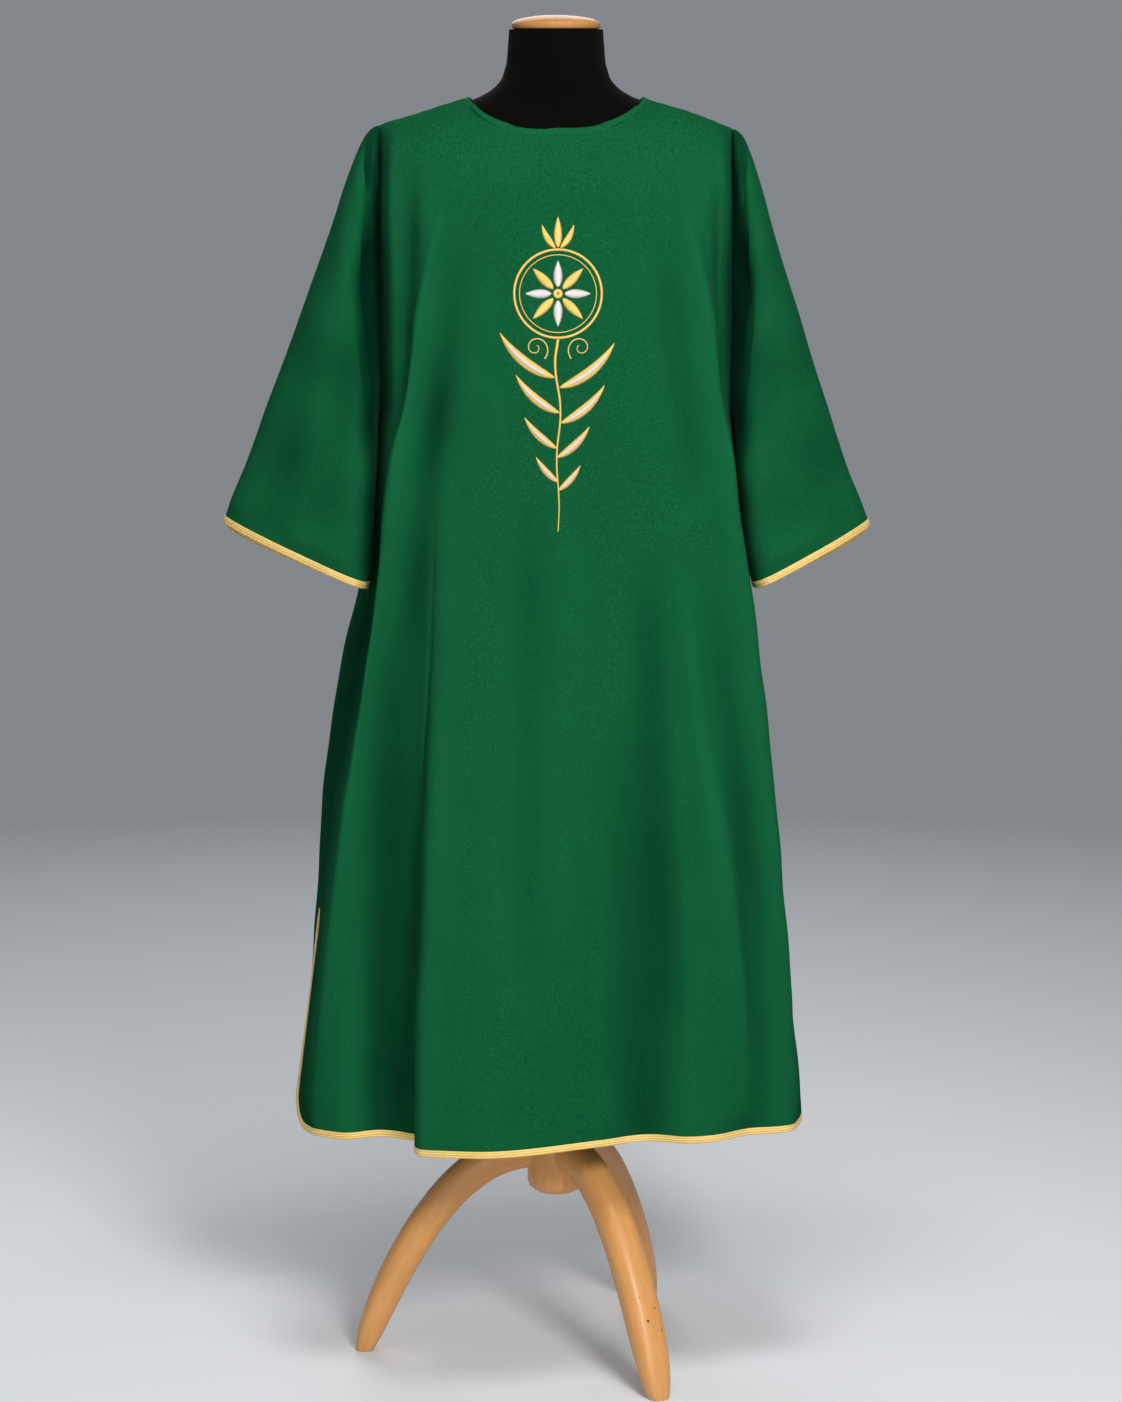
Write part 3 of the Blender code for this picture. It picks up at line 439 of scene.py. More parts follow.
def sharp_section(s, z, face):
    """A point of a panel's section, before its corners are rounded."""
    left, right = (FRONT_LEFT, FRONT_RIGHT) if face < 0 else (BACK_LEFT, BACK_RIGHT)
    middle_y = column(MIDDLE, 1 if face < 0 else 2, z)
    side = np.where(s < 0, -1.0, 1.0)
    edge_x, edge_y, ridge_x, ridge_y = (
        np.where(s < 0, column(left, i, z), column(right, i, z)) for i in (1, 2, 3, 4)
    )
    end_x, end_y = side_point(z, side, face)
    far = np.abs(s)
    bow = far / RIDGE_AT
    in_front = far <= RIDGE_AT
    to_edge = (far - RIDGE_AT) / (EDGE_AT - RIDGE_AT)
    to_side = (far - EDGE_AT) / (SIDE_AT - EDGE_AT)
    on_edge = far <= EDGE_AT
    x = np.where(on_edge, ridge_x + (edge_x - ridge_x) * to_edge, edge_x + (end_x - edge_x) * to_side)
    y = np.where(on_edge, ridge_y + (edge_y - ridge_y) * to_edge, edge_y + (end_y - edge_y) * to_side)
    x = np.where(in_front, ridge_x * bow, x)
    y = np.where(in_front, middle_y + (ridge_y - middle_y) * bow**2, y)
    return side * x, y


def section(s, z, face):
    """A point of a panel at or below the chest: rounded section with its folds."""
    steps = np.linspace(-SECTION_SOFTNESS, SECTION_SOFTNESS, 7)
    near_end = np.clip((1.0 - np.abs(s)) / SECTION_SOFTNESS, 0.0, 1.0)
    points = [sharp_section(s + step * near_end, z, face) for step in steps]
    x = np.mean([p[0] for p in points], axis=0)
    y = np.mean([p[1] for p in points], axis=0)
    down = (CHEST_Z - z) / (CHEST_Z - HEM_Z)
    lean = 0.0
    folds = FRONT_FOLDS if face < 0 else BACK_FOLDS
    for name, top_x, hem_x, top_z, full_z, deep, wide_left, wide_right in folds:
        off = x - (top_x + (hem_x - top_x) * down)
        wide = np.where(off < 0, wide_left, wide_right)
        shape = np.cos(np.clip(off / wide, -1.0, 1.0) * math.pi / 2.0) ** 2
        if name == "main":
            steep = 1.0 - np.clip(-off / wide_left, 0.0, 1.0) ** FOLD_STEEPNESS
            shape = np.where(off < 0, steep, shape)
        full = smooth((top_z - z) / (top_z - full_z)) * fade_at_side(s)
        y = y + face * deep * shape * full
        if name == "main":
            lean = FOLD_LEAN * full * shape * smooth(1.0 - off / wide)
    return x - lean, y


def fade_at_side(s):
    return smooth((1.0 - np.abs(s)) / (1.0 - EDGE_AT))


def top_edge(s, face, outside):
    """The neckline's rounded outline, then the shoulder seam out to the armhole."""
    turn = np.clip(s / NECK_AT, -1.0, 1.0) * math.pi / 2.0
    deep = (NECK_FRONT if face < 0 else NECK_BACK) + outside
    along = np.clip((np.abs(s) - NECK_AT) / (1.0 - NECK_AT), 0.0, 1.0)
    half = NECK_X + outside
    power = 2.0 / NECK_SQUARENESS
    x = half * signed_power(np.sin(turn), power) + np.sign(s) * (ARMHOLE_X - half) * along
    y = face * deep * np.where(np.abs(s) < NECK_AT, signed_power(np.cos(turn), power), 0.0)
    return x, y


def shoulder(s, share, face, outside=NECK_BINDING_W):
    """A point between the top edge (share 0) and the chest (share 1)."""
    chest_x, chest_y = section(s, np.full_like(s, CHEST_Z), face)
    top_x, top_y = top_edge(s, face, outside)
    start = np.arcsin(np.clip(top_y / chest_y, 0.0, 1.0))
    turn = start + (math.pi / 2.0 - start) * share**1.25
    x = top_x + (chest_x - top_x) * (1.0 - (1.0 - share) ** 2.2)
    y = chest_y * np.sin(turn)
    z = CHEST_Z + (shoulder_z(top_x) - CHEST_Z) * np.cos(turn)
    return np.stack([x, y, z], axis=-1)


def beyond(s):
    """0 over the middle of a panel and 1 at its sides."""
    return np.clip((np.abs(s) - DRAWN_IN_FROM) / (1.0 - DRAWN_IN_FROM), 0.0, 1.0)


def side_stretch(face):
    """Metres of cloth at the hem for one unit of s, beside the slit."""
    a = np.array(section(np.array([1.0]), np.array([HEM_Z]), face))
    b = np.array(section(np.array([EDGE_AT]), np.array([HEM_Z]), face))
    return float(np.linalg.norm(a - b)) / (1.0 - EDGE_AT)


STRETCH = {-1.0: side_stretch(-1.0), 1.0: side_stretch(1.0)}


def along_fold(s, z, face):
    """Columns of the front panel moved so that one of them follows the main fold's foot."""
    if face > 0:
        return s
    _, top_x, hem_x, _, _, _, wide_left, _ = FRONT_FOLDS[0]
    down = (CHEST_Z - z) / (CHEST_Z - HEM_Z)
    foot = wide_left - top_x - (hem_x - top_x) * down
    foot_at = foot / column(FRONT_LEFT, 3, z) * RIDGE_AT
    moved = (foot_at - FOLD_FOOT_AT) * smooth((CHEST_Z - z) / FOLD_FOLLOWED_OVER)
    near = np.where(s < -FOLD_FOOT_AT, (s + RIDGE_AT) / (RIDGE_AT - FOLD_FOOT_AT), -s / FOLD_FOOT_AT)
    return s - moved * np.clip(near, 0.0, 1.0)


def panel_row(s, z, inset, face):
    z = np.zeros_like(s) + z
    moved = along_fold(s, z, face)
    drawn = moved - np.sign(s) * beyond(moved) * inset / STRETCH[face]
    x, y = section(drawn, z, face)
    return np.stack([x, y, z], axis=-1)


CORNER_FROM = 0.86  # share of the slit's rows that lie above its rounded corner


def slit_row(s, share, face, width):
    """A row beside the slit: its ends follow the slit's edge and the rounded corner."""
    straight = SLIT_TOP_Z - HEM_Z - CORNER_R
    if share < CORNER_FROM:
        side_z = SLIT_TOP_Z - straight * share / CORNER_FROM
        inset = width * float(smooth((SLIT_TOP_Z - side_z) / BINDING_START))
    else:
        turn = math.pi / 2.0 * (share - CORNER_FROM) / (1.0 - CORNER_FROM)
        side_z = HEM_Z + CORNER_R - (CORNER_R - width) * math.sin(turn)
        inset = CORNER_R - (CORNER_R - width) * math.cos(turn)
    middle_z = SLIT_TOP_Z - (SLIT_TOP_Z - HEM_Z - width) * share
    return panel_row(s, middle_z + (side_z - middle_z) * beyond(s), inset, face)


def unit(vectors):
    return vectors / np.maximum(np.linalg.norm(vectors, axis=-1, keepdims=True), 1e-12)


def run_along(path):
    """Metres along a path from its first point, for every point of it."""
    steps = np.linalg.norm(np.diff(path, axis=0), axis=-1)
    return np.concatenate([[0.0], np.cumsum(steps)])


def normals_of(grid, wrap):
    """Unit normals of a grid of points; wrap joins its last column to its first."""
    down = np.gradient(grid, axis=0)
    if wrap:
        across = (np.roll(grid, -1, axis=1) - np.roll(grid, 1, axis=1)) / 2.0
    else:
        across = np.gradient(grid, axis=1)
    return unit(np.cross(across, down))


CREASE_END = 0.3  # share of a crease's length over which it fades in or out


def crease_height(across, down, creases):
    """How far the soft creases and ripples move the cloth outwards."""
    height = np.zeros_like(across)
    for _, x0, z0, x1, z1, wide, deep in creases:
        run_x, run_z = x1 - x0, z1 - z0
        length = math.hypot(run_x, run_z)
        along = ((across - x0) * run_x + (down - z0) * run_z) / length**2
        off = ((across - x0) * run_z - (down - z0) * run_x) / length
        ends = smooth(along / CREASE_END) * smooth((1.0 - along) / CREASE_END)
        height += deep * ends * np.exp(-((off / wide) ** 2))
    for per_across, per_down, phase, deep in RIPPLES:
        height += deep * np.sin(2.0 * np.pi * (per_across * across + per_down * down) + phase)
    return height


def lay_of(grid):
    """Metres across and down the cloth for every point of a grid."""
    middle = grid.shape[1] // 2
    steps = np.linalg.norm(np.diff(grid, axis=1), axis=-1)
    across = np.concatenate([np.zeros((grid.shape[0], 1)), np.cumsum(steps, axis=1)], axis=1)
    across -= across[:, middle : middle + 1]
    down = run_along(grid[:, middle])
    return np.stack([across, np.zeros_like(across) + down[:, None]], axis=-1)


SHARP_FROM = math.radians(60.0)


def new_piece(name, points, faces, lay, material):
    """A smooth closed mesh at the form's axis. It stores the lay of its thread: metres across and
    down the piece, then the painted shade of a point of cloth (darker where the cloth lies in a
    hollow, paler as a painted highlight on a ridge), or how near a point of satin stitch is to its
    band's edge, which its finish darkens as painted shade."""
    mesh = bpy.data.meshes.new(name)
    moved = np.array(points, float) + (AXIS_X, 0.0, 0.0)
    mesh.from_pydata(moved.tolist(), [], faces)
    stored = mesh.attributes.new("lay", "FLOAT_VECTOR", "POINT")
    flat = np.zeros((len(moved), 3))
    flat[:, : lay.shape[-1]] = lay
    stored.data.foreach_set("vector", flat.ravel())
    shell = bmesh.new()
    shell.from_mesh(mesh)
    bmesh.ops.recalc_face_normals(shell, faces=shell.faces)
    shell.to_mesh(mesh)
    shell.free()
    mesh.shade_smooth()
    mesh.set_sharp_from_angle(angle=SHARP_FROM)
    mesh.materials.append(material)
    piece = bpy.data.objects.new(name, mesh)
    scene.collection.objects.link(piece)
    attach(piece, "root")
    return piece


def cloth_piece(name, outer, inner, wrap, lay, material):
    """A cloth wall between an outer and an inner grid of points."""
    rows, cols = outer.shape[:2]
    count = rows * cols
    faces = []
    columns = range(cols if wrap else cols - 1)
    for row in range(rows - 1):
        for col in columns:
            a, b = row * cols + col, row * cols + (col + 1) % cols
            ring = (a, b, b + cols, a + cols)
            faces.append(ring)
            faces.append(tuple(count + k for k in reversed(ring)))
    rim = [(col, (col + 1) % cols) for col in columns]
    last = (rows - 1) * cols
    rim += [(last + (col + 1) % cols, last + col) for col in columns]
    if not wrap:
        rim += [((row + 1) * cols, row * cols) for row in range(rows - 1)]
        rim += [(row * cols + cols - 1, (row + 1) * cols + cols - 1) for row in range(rows - 1)]
    for a, b in rim:
        faces.append((b, a, a + count, b + count))
    points = np.concatenate([outer.reshape(-1, 3), inner.reshape(-1, 3)])
    both = np.concatenate([lay.reshape(rows * cols, -1)] * 2)
    return new_piece(name, points, faces, both, material)


# Painted shade and painted highlight of the green cloth: how far its colour goes towards a dark green
# where it lies in a hollow, then how far towards a pale green on its ridges.
PAINTED_SHADE_WEIGHT, PAINTED_SHADE_GREEN = 0.64, (0.0008, 0.0210, 0.0090)
PAINTED_HIGHLIGHT_WEIGHT, PAINTED_HIGHLIGHT_GREEN = 0.22, (0.0110, 0.1500, 0.0600)


RIB_PITCH, RIB_SLANT, THREAD_PITCH = 0.0011, 1.7, 0.0006


def twill(name, thread, shade):
    """Fine twill: slanting ribs crossed by single threads, with a slightly cloudy dye. Painted shade
    darkens it where the cloth lies in a hollow and beside the armhole seams, and a painted highlight
    pales it along its ridges."""
    material, shader, lay = finish(
        name,
        {
            "Roughness": 0.62,
            "Specular IOR Level": 0.0,
            "Sheen Weight": 0.06,
            "Sheen Roughness": 0.35,
            "Sheen Tint": (0.10, 0.55, 0.30, 1.0),
        },
    )
    across, down = lay.part(0), lay.part(1)
    rib = (across + down * RIB_SLANT).wave(RIB_PITCH)
    thread_wave = (across - down * 0.25).wave(THREAD_PITCH)
    cloud = lay.noise(9.0, 3.0)
    grain = lay.noise(290.0, 3.0, 0.9)
    worn = (cloud * 0.4 + grain * 4.5 + rib * 0.2 - 2.25).limited()
    # The lay's third part is painted shade: it mixes the cloth towards a dark green where it lies in
    # a hollow and beside the armhole seams, and, where it is negative, towards a pale green as a
    # painted highlight on its ridges.
    hollow = lay.part(2)
    tone = (hollow * PAINTED_SHADE_WEIGHT).limited().mix(worn.mix(shade, thread), PAINTED_SHADE_GREEN)
    tone = (hollow * -PAINTED_HIGHLIGHT_WEIGHT).limited().mix(tone, PAINTED_HIGHLIGHT_GREEN)
    weave = rib * 0.6 + thread_wave * 0.25 + grain * 0.5
    feed(shader, {"Base Color": tone, "Normal": bumped(weave, 0.35, 0.0003)})
    return material


COLUMN_STRETCHES = [
    # from, to, columns: closest where the main fold turns in
    (0.0, 0.30, 19),
    (0.30, 0.39, 30),
    (0.39, 0.84, 37),
    (0.84, 0.99, 23),
]
SEAM_COLUMNS = [0.99, 0.9935, 0.997, 1.0]


def panel_columns():
    """Columns of a panel: close where it bends, and closest beside its seams."""
    half = [np.linspace(start, end, count + 1)[:-1] for start, end, count in COLUMN_STRETCHES]
    half = np.concatenate([*half, SEAM_COLUMNS])
    return np.concatenate([-half[:0:-1], half])


SHOULDER_ROWS = [0.0, 0.004, 0.010, 0.020] + list(np.linspace(0.035, 1.0, 26)[:-1])
BODY_ROWS = np.linspace(CHEST_Z, SLIT_TOP_Z, 96)[:-1]
SLIT_ROWS = [*np.linspace(0.0, CORNER_FROM, 30)[:-1], *np.linspace(CORNER_FROM, 1.0, 10)]


GROOVE_DEEP, GROOVE_WIDE = 0.0009, 0.0022
PUCKER_DEEP, PUCKER_PITCH, PUCKER_REACH = 0.00035, 0.0210, 0.010


def seam_dip(distance, along):
    """Cloth drawn in beside a sewn seam, with small puckers along it."""
    groove = -GROOVE_DEEP * np.exp(-((distance / GROOVE_WIDE) ** 2))
    pucker = PUCKER_DEEP * np.sin(2.0 * np.pi * along / PUCKER_PITCH)
    return groove + pucker * np.exp(-distance / PUCKER_REACH)


# Painted shade where the cloth lies in a hollow, and painted highlight on its ridges: each reach
# compares a point with the cloth round it.
HOLLOW_REACHES = [
    # reach, depth that is full, least
    (0.034, 0.0085, -1.0),
    (0.100, 0.055, 0.0),
]
RIDGE_FADE = 0.05
# Painted shade beside the armhole seam, where the sleeve shades the body, and the darkest that
# painted shade may get. Above the shoulder light height it fades out, as the shoulders' tops are lit.
SEAM_SHADE, SEAM_SHADE_REACH, DARKEST_PAINTED_SHADE = 1.1, 0.013, 1.5
SEAM_SHADE_TOP_Z, SEAM_SHADE_LOW_Z, SEAM_SHADE_FADE = 1.47, 1.10, 0.10
SHOULDER_LIGHT_Z, SHOULDER_LIGHT_FADE = 1.505, 0.05


def painted_shade_of(grid, lay, face):
    """How much painted shade each point of a panel gets from how far it lies below the cloth round
    it: 1 in a full hollow, down to -1, a painted highlight, on the sharpest ridge, more beside the
    armhole seam where the sleeve shades the body, and none on the lit tops of the shoulders."""
    proud = face * grid[..., 1]
    width = np.gradient(lay[..., 0], axis=1)
    deep = np.zeros_like(proud)
    for row in range(len(grid)):
        off = lay[row, :, None, 0] - lay[row, None, :, 0]
        for reach, full, least in HOLLOW_REACHES:
            weight = np.exp(-((off / reach) ** 2)) * width[row]
            below = (weight * proud[row]).sum(axis=1) / weight.sum(axis=1) - proud[row]
            deep[row] += np.clip(below / full, least, 1.0)
    from_side = np.minimum(lay[..., 0] - lay[:, :1, 0], lay[:, -1:, 0] - lay[..., 0])
    ridge = deep * smooth(from_side / RIDGE_FADE)
    deep = np.clip(np.where(deep < 0.0, ridge, deep), -1.0, 1.0)
    z = grid[..., 2]
    by_sleeve = smooth((SEAM_SHADE_TOP_Z - z) / SEAM_SHADE_FADE)
    by_sleeve = by_sleeve * smooth((z - SEAM_SHADE_LOW_Z) / SEAM_SHADE_FADE)
    deep += SEAM_SHADE * by_sleeve * np.exp(-((from_side / SEAM_SHADE_REACH) ** 2))
    lit = smooth((SHOULDER_LIGHT_Z - z) / SHOULDER_LIGHT_FADE)
    return np.clip(deep, -1.0, DARKEST_PAINTED_SHADE) * lit


FULLNESS_FRONT, FULLNESS_BACK, FULLNESS_LOW_Z = 0.0010, 0.0062, 1.00


def fuller(s, z, face):
    """The cloth pushed out below the armpit by the fullness of the sleeve's seam."""
    full = smooth((ARMPIT_Z + 0.005 - z) / 0.03) * smooth((z - FULLNESS_LOW_Z) / 0.10)
    far = np.abs(s)
    at_edge = smooth((far - 0.74) / 0.10) * (1.0 - 0.65 * smooth((far - 0.88) / 0.12))
    return np.sign(s) * full * at_edge * (FULLNESS_BACK if face > 0 else FULLNESS_FRONT)


HELD_SIDE, HELD_TOP_ROWS, HELD_HEM_ROWS = 0.06, 8.0, 6.0  # where creases fade to the seams
SEAM_SHOWS_ABOVE, SEAM_SHOWS_BELOW_Z, SEAM_SHOWS_OVER = 0.05, 0.98, 0.04
SHOULDER_SEAM_REACH = 0.06


def panel(face, creases):
    """Outer and inner points of a panel, and the lay of its thread with its painted shade."""
    s = panel_columns()
    rows = [shoulder(s, share, face) for share in SHOULDER_ROWS]
    rows += [panel_row(s, z, 0.0, face) for z in BODY_ROWS]
    rows += [slit_row(s, share, face, BINDING_W) for share in SLIT_ROWS]
    grid = np.array(rows)
    grid[..., 0] += fuller(s, grid[..., 2], face)
    for side, at_face, out, top, low, wide, deep in PLEATS:
        if at_face == face:
            down = (top - grid[..., 2]) / (top - low)
            full = np.sin(np.pi * np.clip(down, 0.0, 1.0) ** 0.7) ** 1.3
            off = (side * grid[..., 0] - out) / wide
            grid[..., 1] += face * deep * full * np.exp(-(off**2))
    lay = lay_of(grid)
    height = crease_height(grid[..., 0], grid[..., 2], creases)
    row = np.arange(len(grid))
    held = smooth((1.0 - np.abs(s)) / HELD_SIDE) * smooth(row / HELD_TOP_ROWS)[:, None]
    height *= held * smooth((len(grid) - 1.0 - row) / HELD_HEM_ROWS)[:, None]
    side_z = grid[:, :1, 2]
    sewn_in = smooth((side_z - ARMPIT_Z - SEAM_SHOWS_ABOVE) / SEAM_SHOWS_OVER)
    sewn_in += smooth((SEAM_SHOWS_BELOW_Z - side_z) / SEAM_SHOWS_OVER)
    sewn_in *= side_z > SLIT_TOP_Z
    for end in (0, -1):
        distance = np.abs(lay[..., 0] - lay[:, end, None, 0])
        height += sewn_in * seam_dip(distance, lay[..., 1])
    on_shoulder = smooth((np.abs(s) - NECK_AT) / 0.02)
    on_shoulder = on_shoulder * (lay[..., 1] < SHOULDER_SEAM_REACH)
    height += on_shoulder * seam_dip(lay[..., 1], lay[..., 0])
    facing = face * normals_of(grid, False)
    outer = grid + facing * height[..., None]
    inner = outer - facing * WALL
    for points in (outer, inner):
        points[..., 1] = face * np.maximum(face * points[..., 1], SEAM / 2.0)
        above = points[..., 2] > ARMPIT_Z
        reach = ARMHOLE_X - SEAM / 2.0
        points[..., 0] = np.where(above, np.clip(points[..., 0], -reach, reach), points[..., 0])
        for end, side in ((0, s[0]), (-1, s[-1])):
            points[:, end, 0] = np.where(above[:, end], side * reach, points[:, end, 0])
    # The lay's third part carries the panel's painted shade.
    return outer, inner, np.concatenate([lay, painted_shade_of(outer, lay, face)[..., None]], axis=-1)


green_twill = twill("green twill", (0.0080, 0.1060, 0.0380), (0.0034, 0.0680, 0.0230))
front_outer, front_inner, front_lay = panel(-1.0, FRONT_CREASES)
front_cloth = cloth_piece("front_cloth", front_outer, front_inner, False, front_lay, green_twill)
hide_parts("front_body")
back_outer, back_inner, back_lay = panel(1.0, BACK_CREASES)
back_cloth = cloth_piece("back_cloth", back_outer, back_inner, False, back_lay, green_twill)
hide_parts("back_body")

# ------------------------------------------------------------------ sleeves
# Each sleeve is one wide rectangle of the same twill, folded over the arm, joined to the
# straight armhole and closed under the arm. It hangs flat, with an open cuff.
SLEEVE_LEFT = [
    # share, over_x, over_z, under_x, under_y, under_z, front, back
    (0.00, 0.2140, 1.5356, 0.2140, 0.000, 1.190, 0.025, 0.025),
    (0.03, 0.2262, 1.5318, 0.2160, -0.004, 1.180, 0.052, 0.048),
    (0.07, 0.2380, 1.5120, 0.2172, -0.014, 1.168, 0.070, 0.066),
    (0.20, 0.2625, 1.4440, 0.2180, -0.036, 1.136, 0.070, 0.078),
    (0.35, 0.2885, 1.3700, 0.2188, -0.048, 1.098, 0.066, 0.084),
    (0.52, 0.3200, 1.2850, 0.2205, -0.054, 1.055, 0.062, 0.088),
    (0.70, 0.3540, 1.1950, 0.2235, -0.057, 1.017, 0.058, 0.090),
    (0.86, 0.3835, 1.1160, 0.2265, -0.058, 0.994, 0.056, 0.092),
    (1.00, 0.4100, 1.0520, 0.2298, -0.058, 0.977, 0.054, 0.092),
]
SLEEVE_RIGHT = [
    # share, over_x, over_z, under_x, under_y, under_z, front, back
    (0.00, 0.2140, 1.5312, 0.2140, 0.000, 1.190, 0.025, 0.025),
    (0.03, 0.2258, 1.5266, 0.2160, -0.004, 1.180, 0.052, 0.048),
    (0.07, 0.2350, 1.5050, 0.2176, -0.012, 1.168, 0.070, 0.066),
    (0.20, 0.2540, 1.4410, 0.2195, -0.032, 1.136, 0.070, 0.078),
    (0.35, 0.2755, 1.3700, 0.2210, -0.042, 1.098, 0.066, 0.084),
    (0.52, 0.3030, 1.2850, 0.2240, -0.046, 1.055, 0.062, 0.088),
    (0.70, 0.3320, 1.1950, 0.2300, -0.048, 1.017, 0.058, 0.090),
    (0.86, 0.3590, 1.1150, 0.2365, -0.050, 0.994, 0.056, 0.092),
    (1.00, 0.3864, 1.0480, 0.2420, -0.050, 0.977, 0.054, 0.092),
]
SLEEVE_BACK_DROP = 0.022  # how much lower the back layer of the cuff hangs
SLEEVE_SKEW = 0.30
SLEEVE_TURNS = np.linspace(0.0, 2.0 * math.pi, 161)[:-1]
SLEEVE_SHARES = [0.0, 0.004, 0.010, *np.linspace(0.02, 1.0, 110)]
# Creases lie at x and z on the front layer (y below the fold over the arm) or the back.
SLEEVE_CREASES = [
    # side, face, x from, z from, x to, z to, wide, deep
    (-1.0, -1.0, 0.2460, 1.480, 0.2640, 1.300, 0.0110, 0.0030),
    (-1.0, -1.0, 0.2280, 1.480, 0.2300, 1.040, 0.0120, -0.0060),
    (-1.0, -1.0, 0.2660, 1.380, 0.3060, 1.060, 0.0240, 0.0024),
    (-1.0, -1.0, 0.3000, 1.300, 0.3460, 1.040, 0.0240, -0.0014),
    (-1.0, 1.0, 0.2380, 1.460, 0.2380, 1.100, 0.0120, -0.0040),
    (-1.0, 1.0, 0.2720, 1.340, 0.3150, 1.060, 0.0200, 0.0030),
    (-1.0, 1.0, 0.2500, 1.200, 0.2700, 1.000, 0.0160, -0.0022),
    (1.0, -1.0, 0.2420, 1.480, 0.2600, 1.310, 0.0110, 0.0028),
    (1.0, -1.0, 0.2280, 1.480, 0.2330, 1.040, 0.0120, -0.0060),
    (1.0, -1.0, 0.2620, 1.360, 0.2960, 1.060, 0.0240, 0.0022),
    (1.0, -1.0, 0.2900, 1.280, 0.3260, 1.040, 0.0220, -0.0014),
    (1.0, 1.0, 0.2380, 1.440, 0.2400, 1.120, 0.0120, -0.0038),
    (1.0, 1.0, 0.2640, 1.330, 0.3050, 1.060, 0.0200, 0.0030),
    (1.0, 1.0, 0.2480, 1.180, 0.2640, 1.000, 0.0150, -0.0022),
]


def sleeve_point(table, side, share, turn):
    """turn runs from 0 over the arm, through the front, to pi under it and round."""
    over_x, over_z, under_x, under_y, under_z, front, back = (
        column(table, i, share, 0.02) for i in range(1, 8)
    )
    across = (1.0 - signed_power(np.cos(turn), 2.0 / SLEEVE_SQUARENESS)) / 2.0
    bulge = np.abs(np.sin(turn)) ** (2.0 / SLEEVE_SQUARENESS)
    skew = 1.0 - SLEEVE_SKEW * smooth(share) * np.cos(turn)
    skew = skew + swell(across) * (1.0 - smooth(share / SWELL_FADE))
    behind = np.sin(turn) < 0
    x = side * (over_x + (under_x - over_x) * across)
    y = under_y * across + np.where(behind, back, -front) * bulge * skew
    z = over_z + (under_z - over_z) * across
    z = z - np.where(behind, SLEEVE_BACK_DROP * smooth(share) * bulge, 0.0)
    return np.stack([x, y, z], axis=-1)


CUFF_PROBE = 0.05  # share of a sleeve's length over which its cuff's slope is read


def before_cuff(table, side, turns, distance):
    """The shares at which the sleeve is this distance short of its cuff."""
    cuff = sleeve_point(table, side, np.ones_like(turns), turns)
    short = sleeve_point(table, side, np.full_like(turns, 1.0 - CUFF_PROBE), turns)
    return 1.0 - CUFF_PROBE * distance / np.linalg.norm(cuff - short, axis=-1)


# Painted shade of a sleeve: how far it reaches from the armhole seam, how much darker it gets below
# its height, and the crease depth that gives it in full.
SLEEVE_SHADE_REACH, SLEEVE_SHADE_LOW, SLEEVE_SHADE_Z = 0.017, 0.5, 1.45
SLEEVE_FULL_HOLLOW = 0.012


def sleeve(side, table):
    """Outer and inner points of a sleeve, and the lay of its thread with its painted shade."""
    turns = SLEEVE_TURNS
    stop = before_cuff(table, side, turns, BINDING_W)
    rows = [sleeve_point(table, side, share * stop, turns) for share in SLEEVE_SHARES]
    grid = np.array(rows)
    lay = lay_of(grid)
    down = np.cumsum(np.linalg.norm(np.diff(grid, axis=0, prepend=grid[:1]), axis=-1), axis=0)
    facing = side * normals_of(grid, True)
    height = np.zeros(grid.shape[:2])
    behind = np.sin(turns)[None, :] < 0
    for at_side, face, x0, z0, x1, z1, wide, deep in SLEEVE_CREASES:
        if at_side == side:
            line = [("", x0, z0, x1, z1, wide, deep)]
            raised = crease_height(np.abs(grid[..., 0]), grid[..., 2], line)
            height += np.where(behind == (face > 0), raised, 0.0)
    edges = np.abs(np.sin(turns))[None, :] ** 0.7
    height *= edges * smooth(down / 0.03) * smooth((down[-1] - down) / 0.02)
    # Painted shade beside the armhole seam, darker lower down and in the sleeve's sunken creases, and
    # a painted highlight on its raised creases.
    inward = (np.abs(grid[..., 0]) - ARMHOLE_X) / SLEEVE_SHADE_REACH
    low = smooth((SLEEVE_SHADE_Z - grid[..., 2]) / SEAM_SHADE_FADE)
    dark = np.exp(-(inward**2)) * (SEAM_SHADE + SLEEVE_SHADE_LOW * low)
    hollow = np.clip(dark - height / SLEEVE_FULL_HOLLOW, -1.0, DARKEST_PAINTED_SHADE)
    height += seam_dip(down, lay[..., 0])
    outer = grid + facing * height[..., None]
    inner = outer - facing * WALL
    for points in (outer, inner):
        points[..., 0] = side * np.maximum(side * points[..., 0], ARMHOLE_X + SEAM / 2.0)
        points[0, :, 0] = side * (ARMHOLE_X + SEAM / 2.0)
    return outer, inner, np.concatenate([lay, hollow[..., None]], axis=-1)


sleeves = {}
for side, name, table in ((-1.0, "left", SLEEVE_LEFT), (1.0, "right", SLEEVE_RIGHT)):
    outer, inner, lay = sleeve(side, table)
    made = cloth_piece(f"sleeve_{name}_cloth", outer, inner, True, lay, green_twill)
    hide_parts(f"sleeve_{name}")
    sleeves[side] = (made, outer, inner, table)

# ------------------------------------------------------------------ neck edge
# A bias strip of the same twill, folded over the neckline and sewn down through all
# layers with two rows of stitches.
TAPE_CROWN = 0.0006
TAPE_SHARES = [0.0, 0.06, 0.2, 0.4, 0.6, 0.8, 0.92, 0.985]
ROUNDED_FROM = 0.9
NECK_THREAD = (0.0026, 0.0021, 0.0006, 0.0005)  # pitch, long, wide and proud
NECK_ROW_BELOW, NECK_EDGE_ROW_AT, NECK_EDGE_ROW_PROUD = 0.0012, 0.35, 0.00055


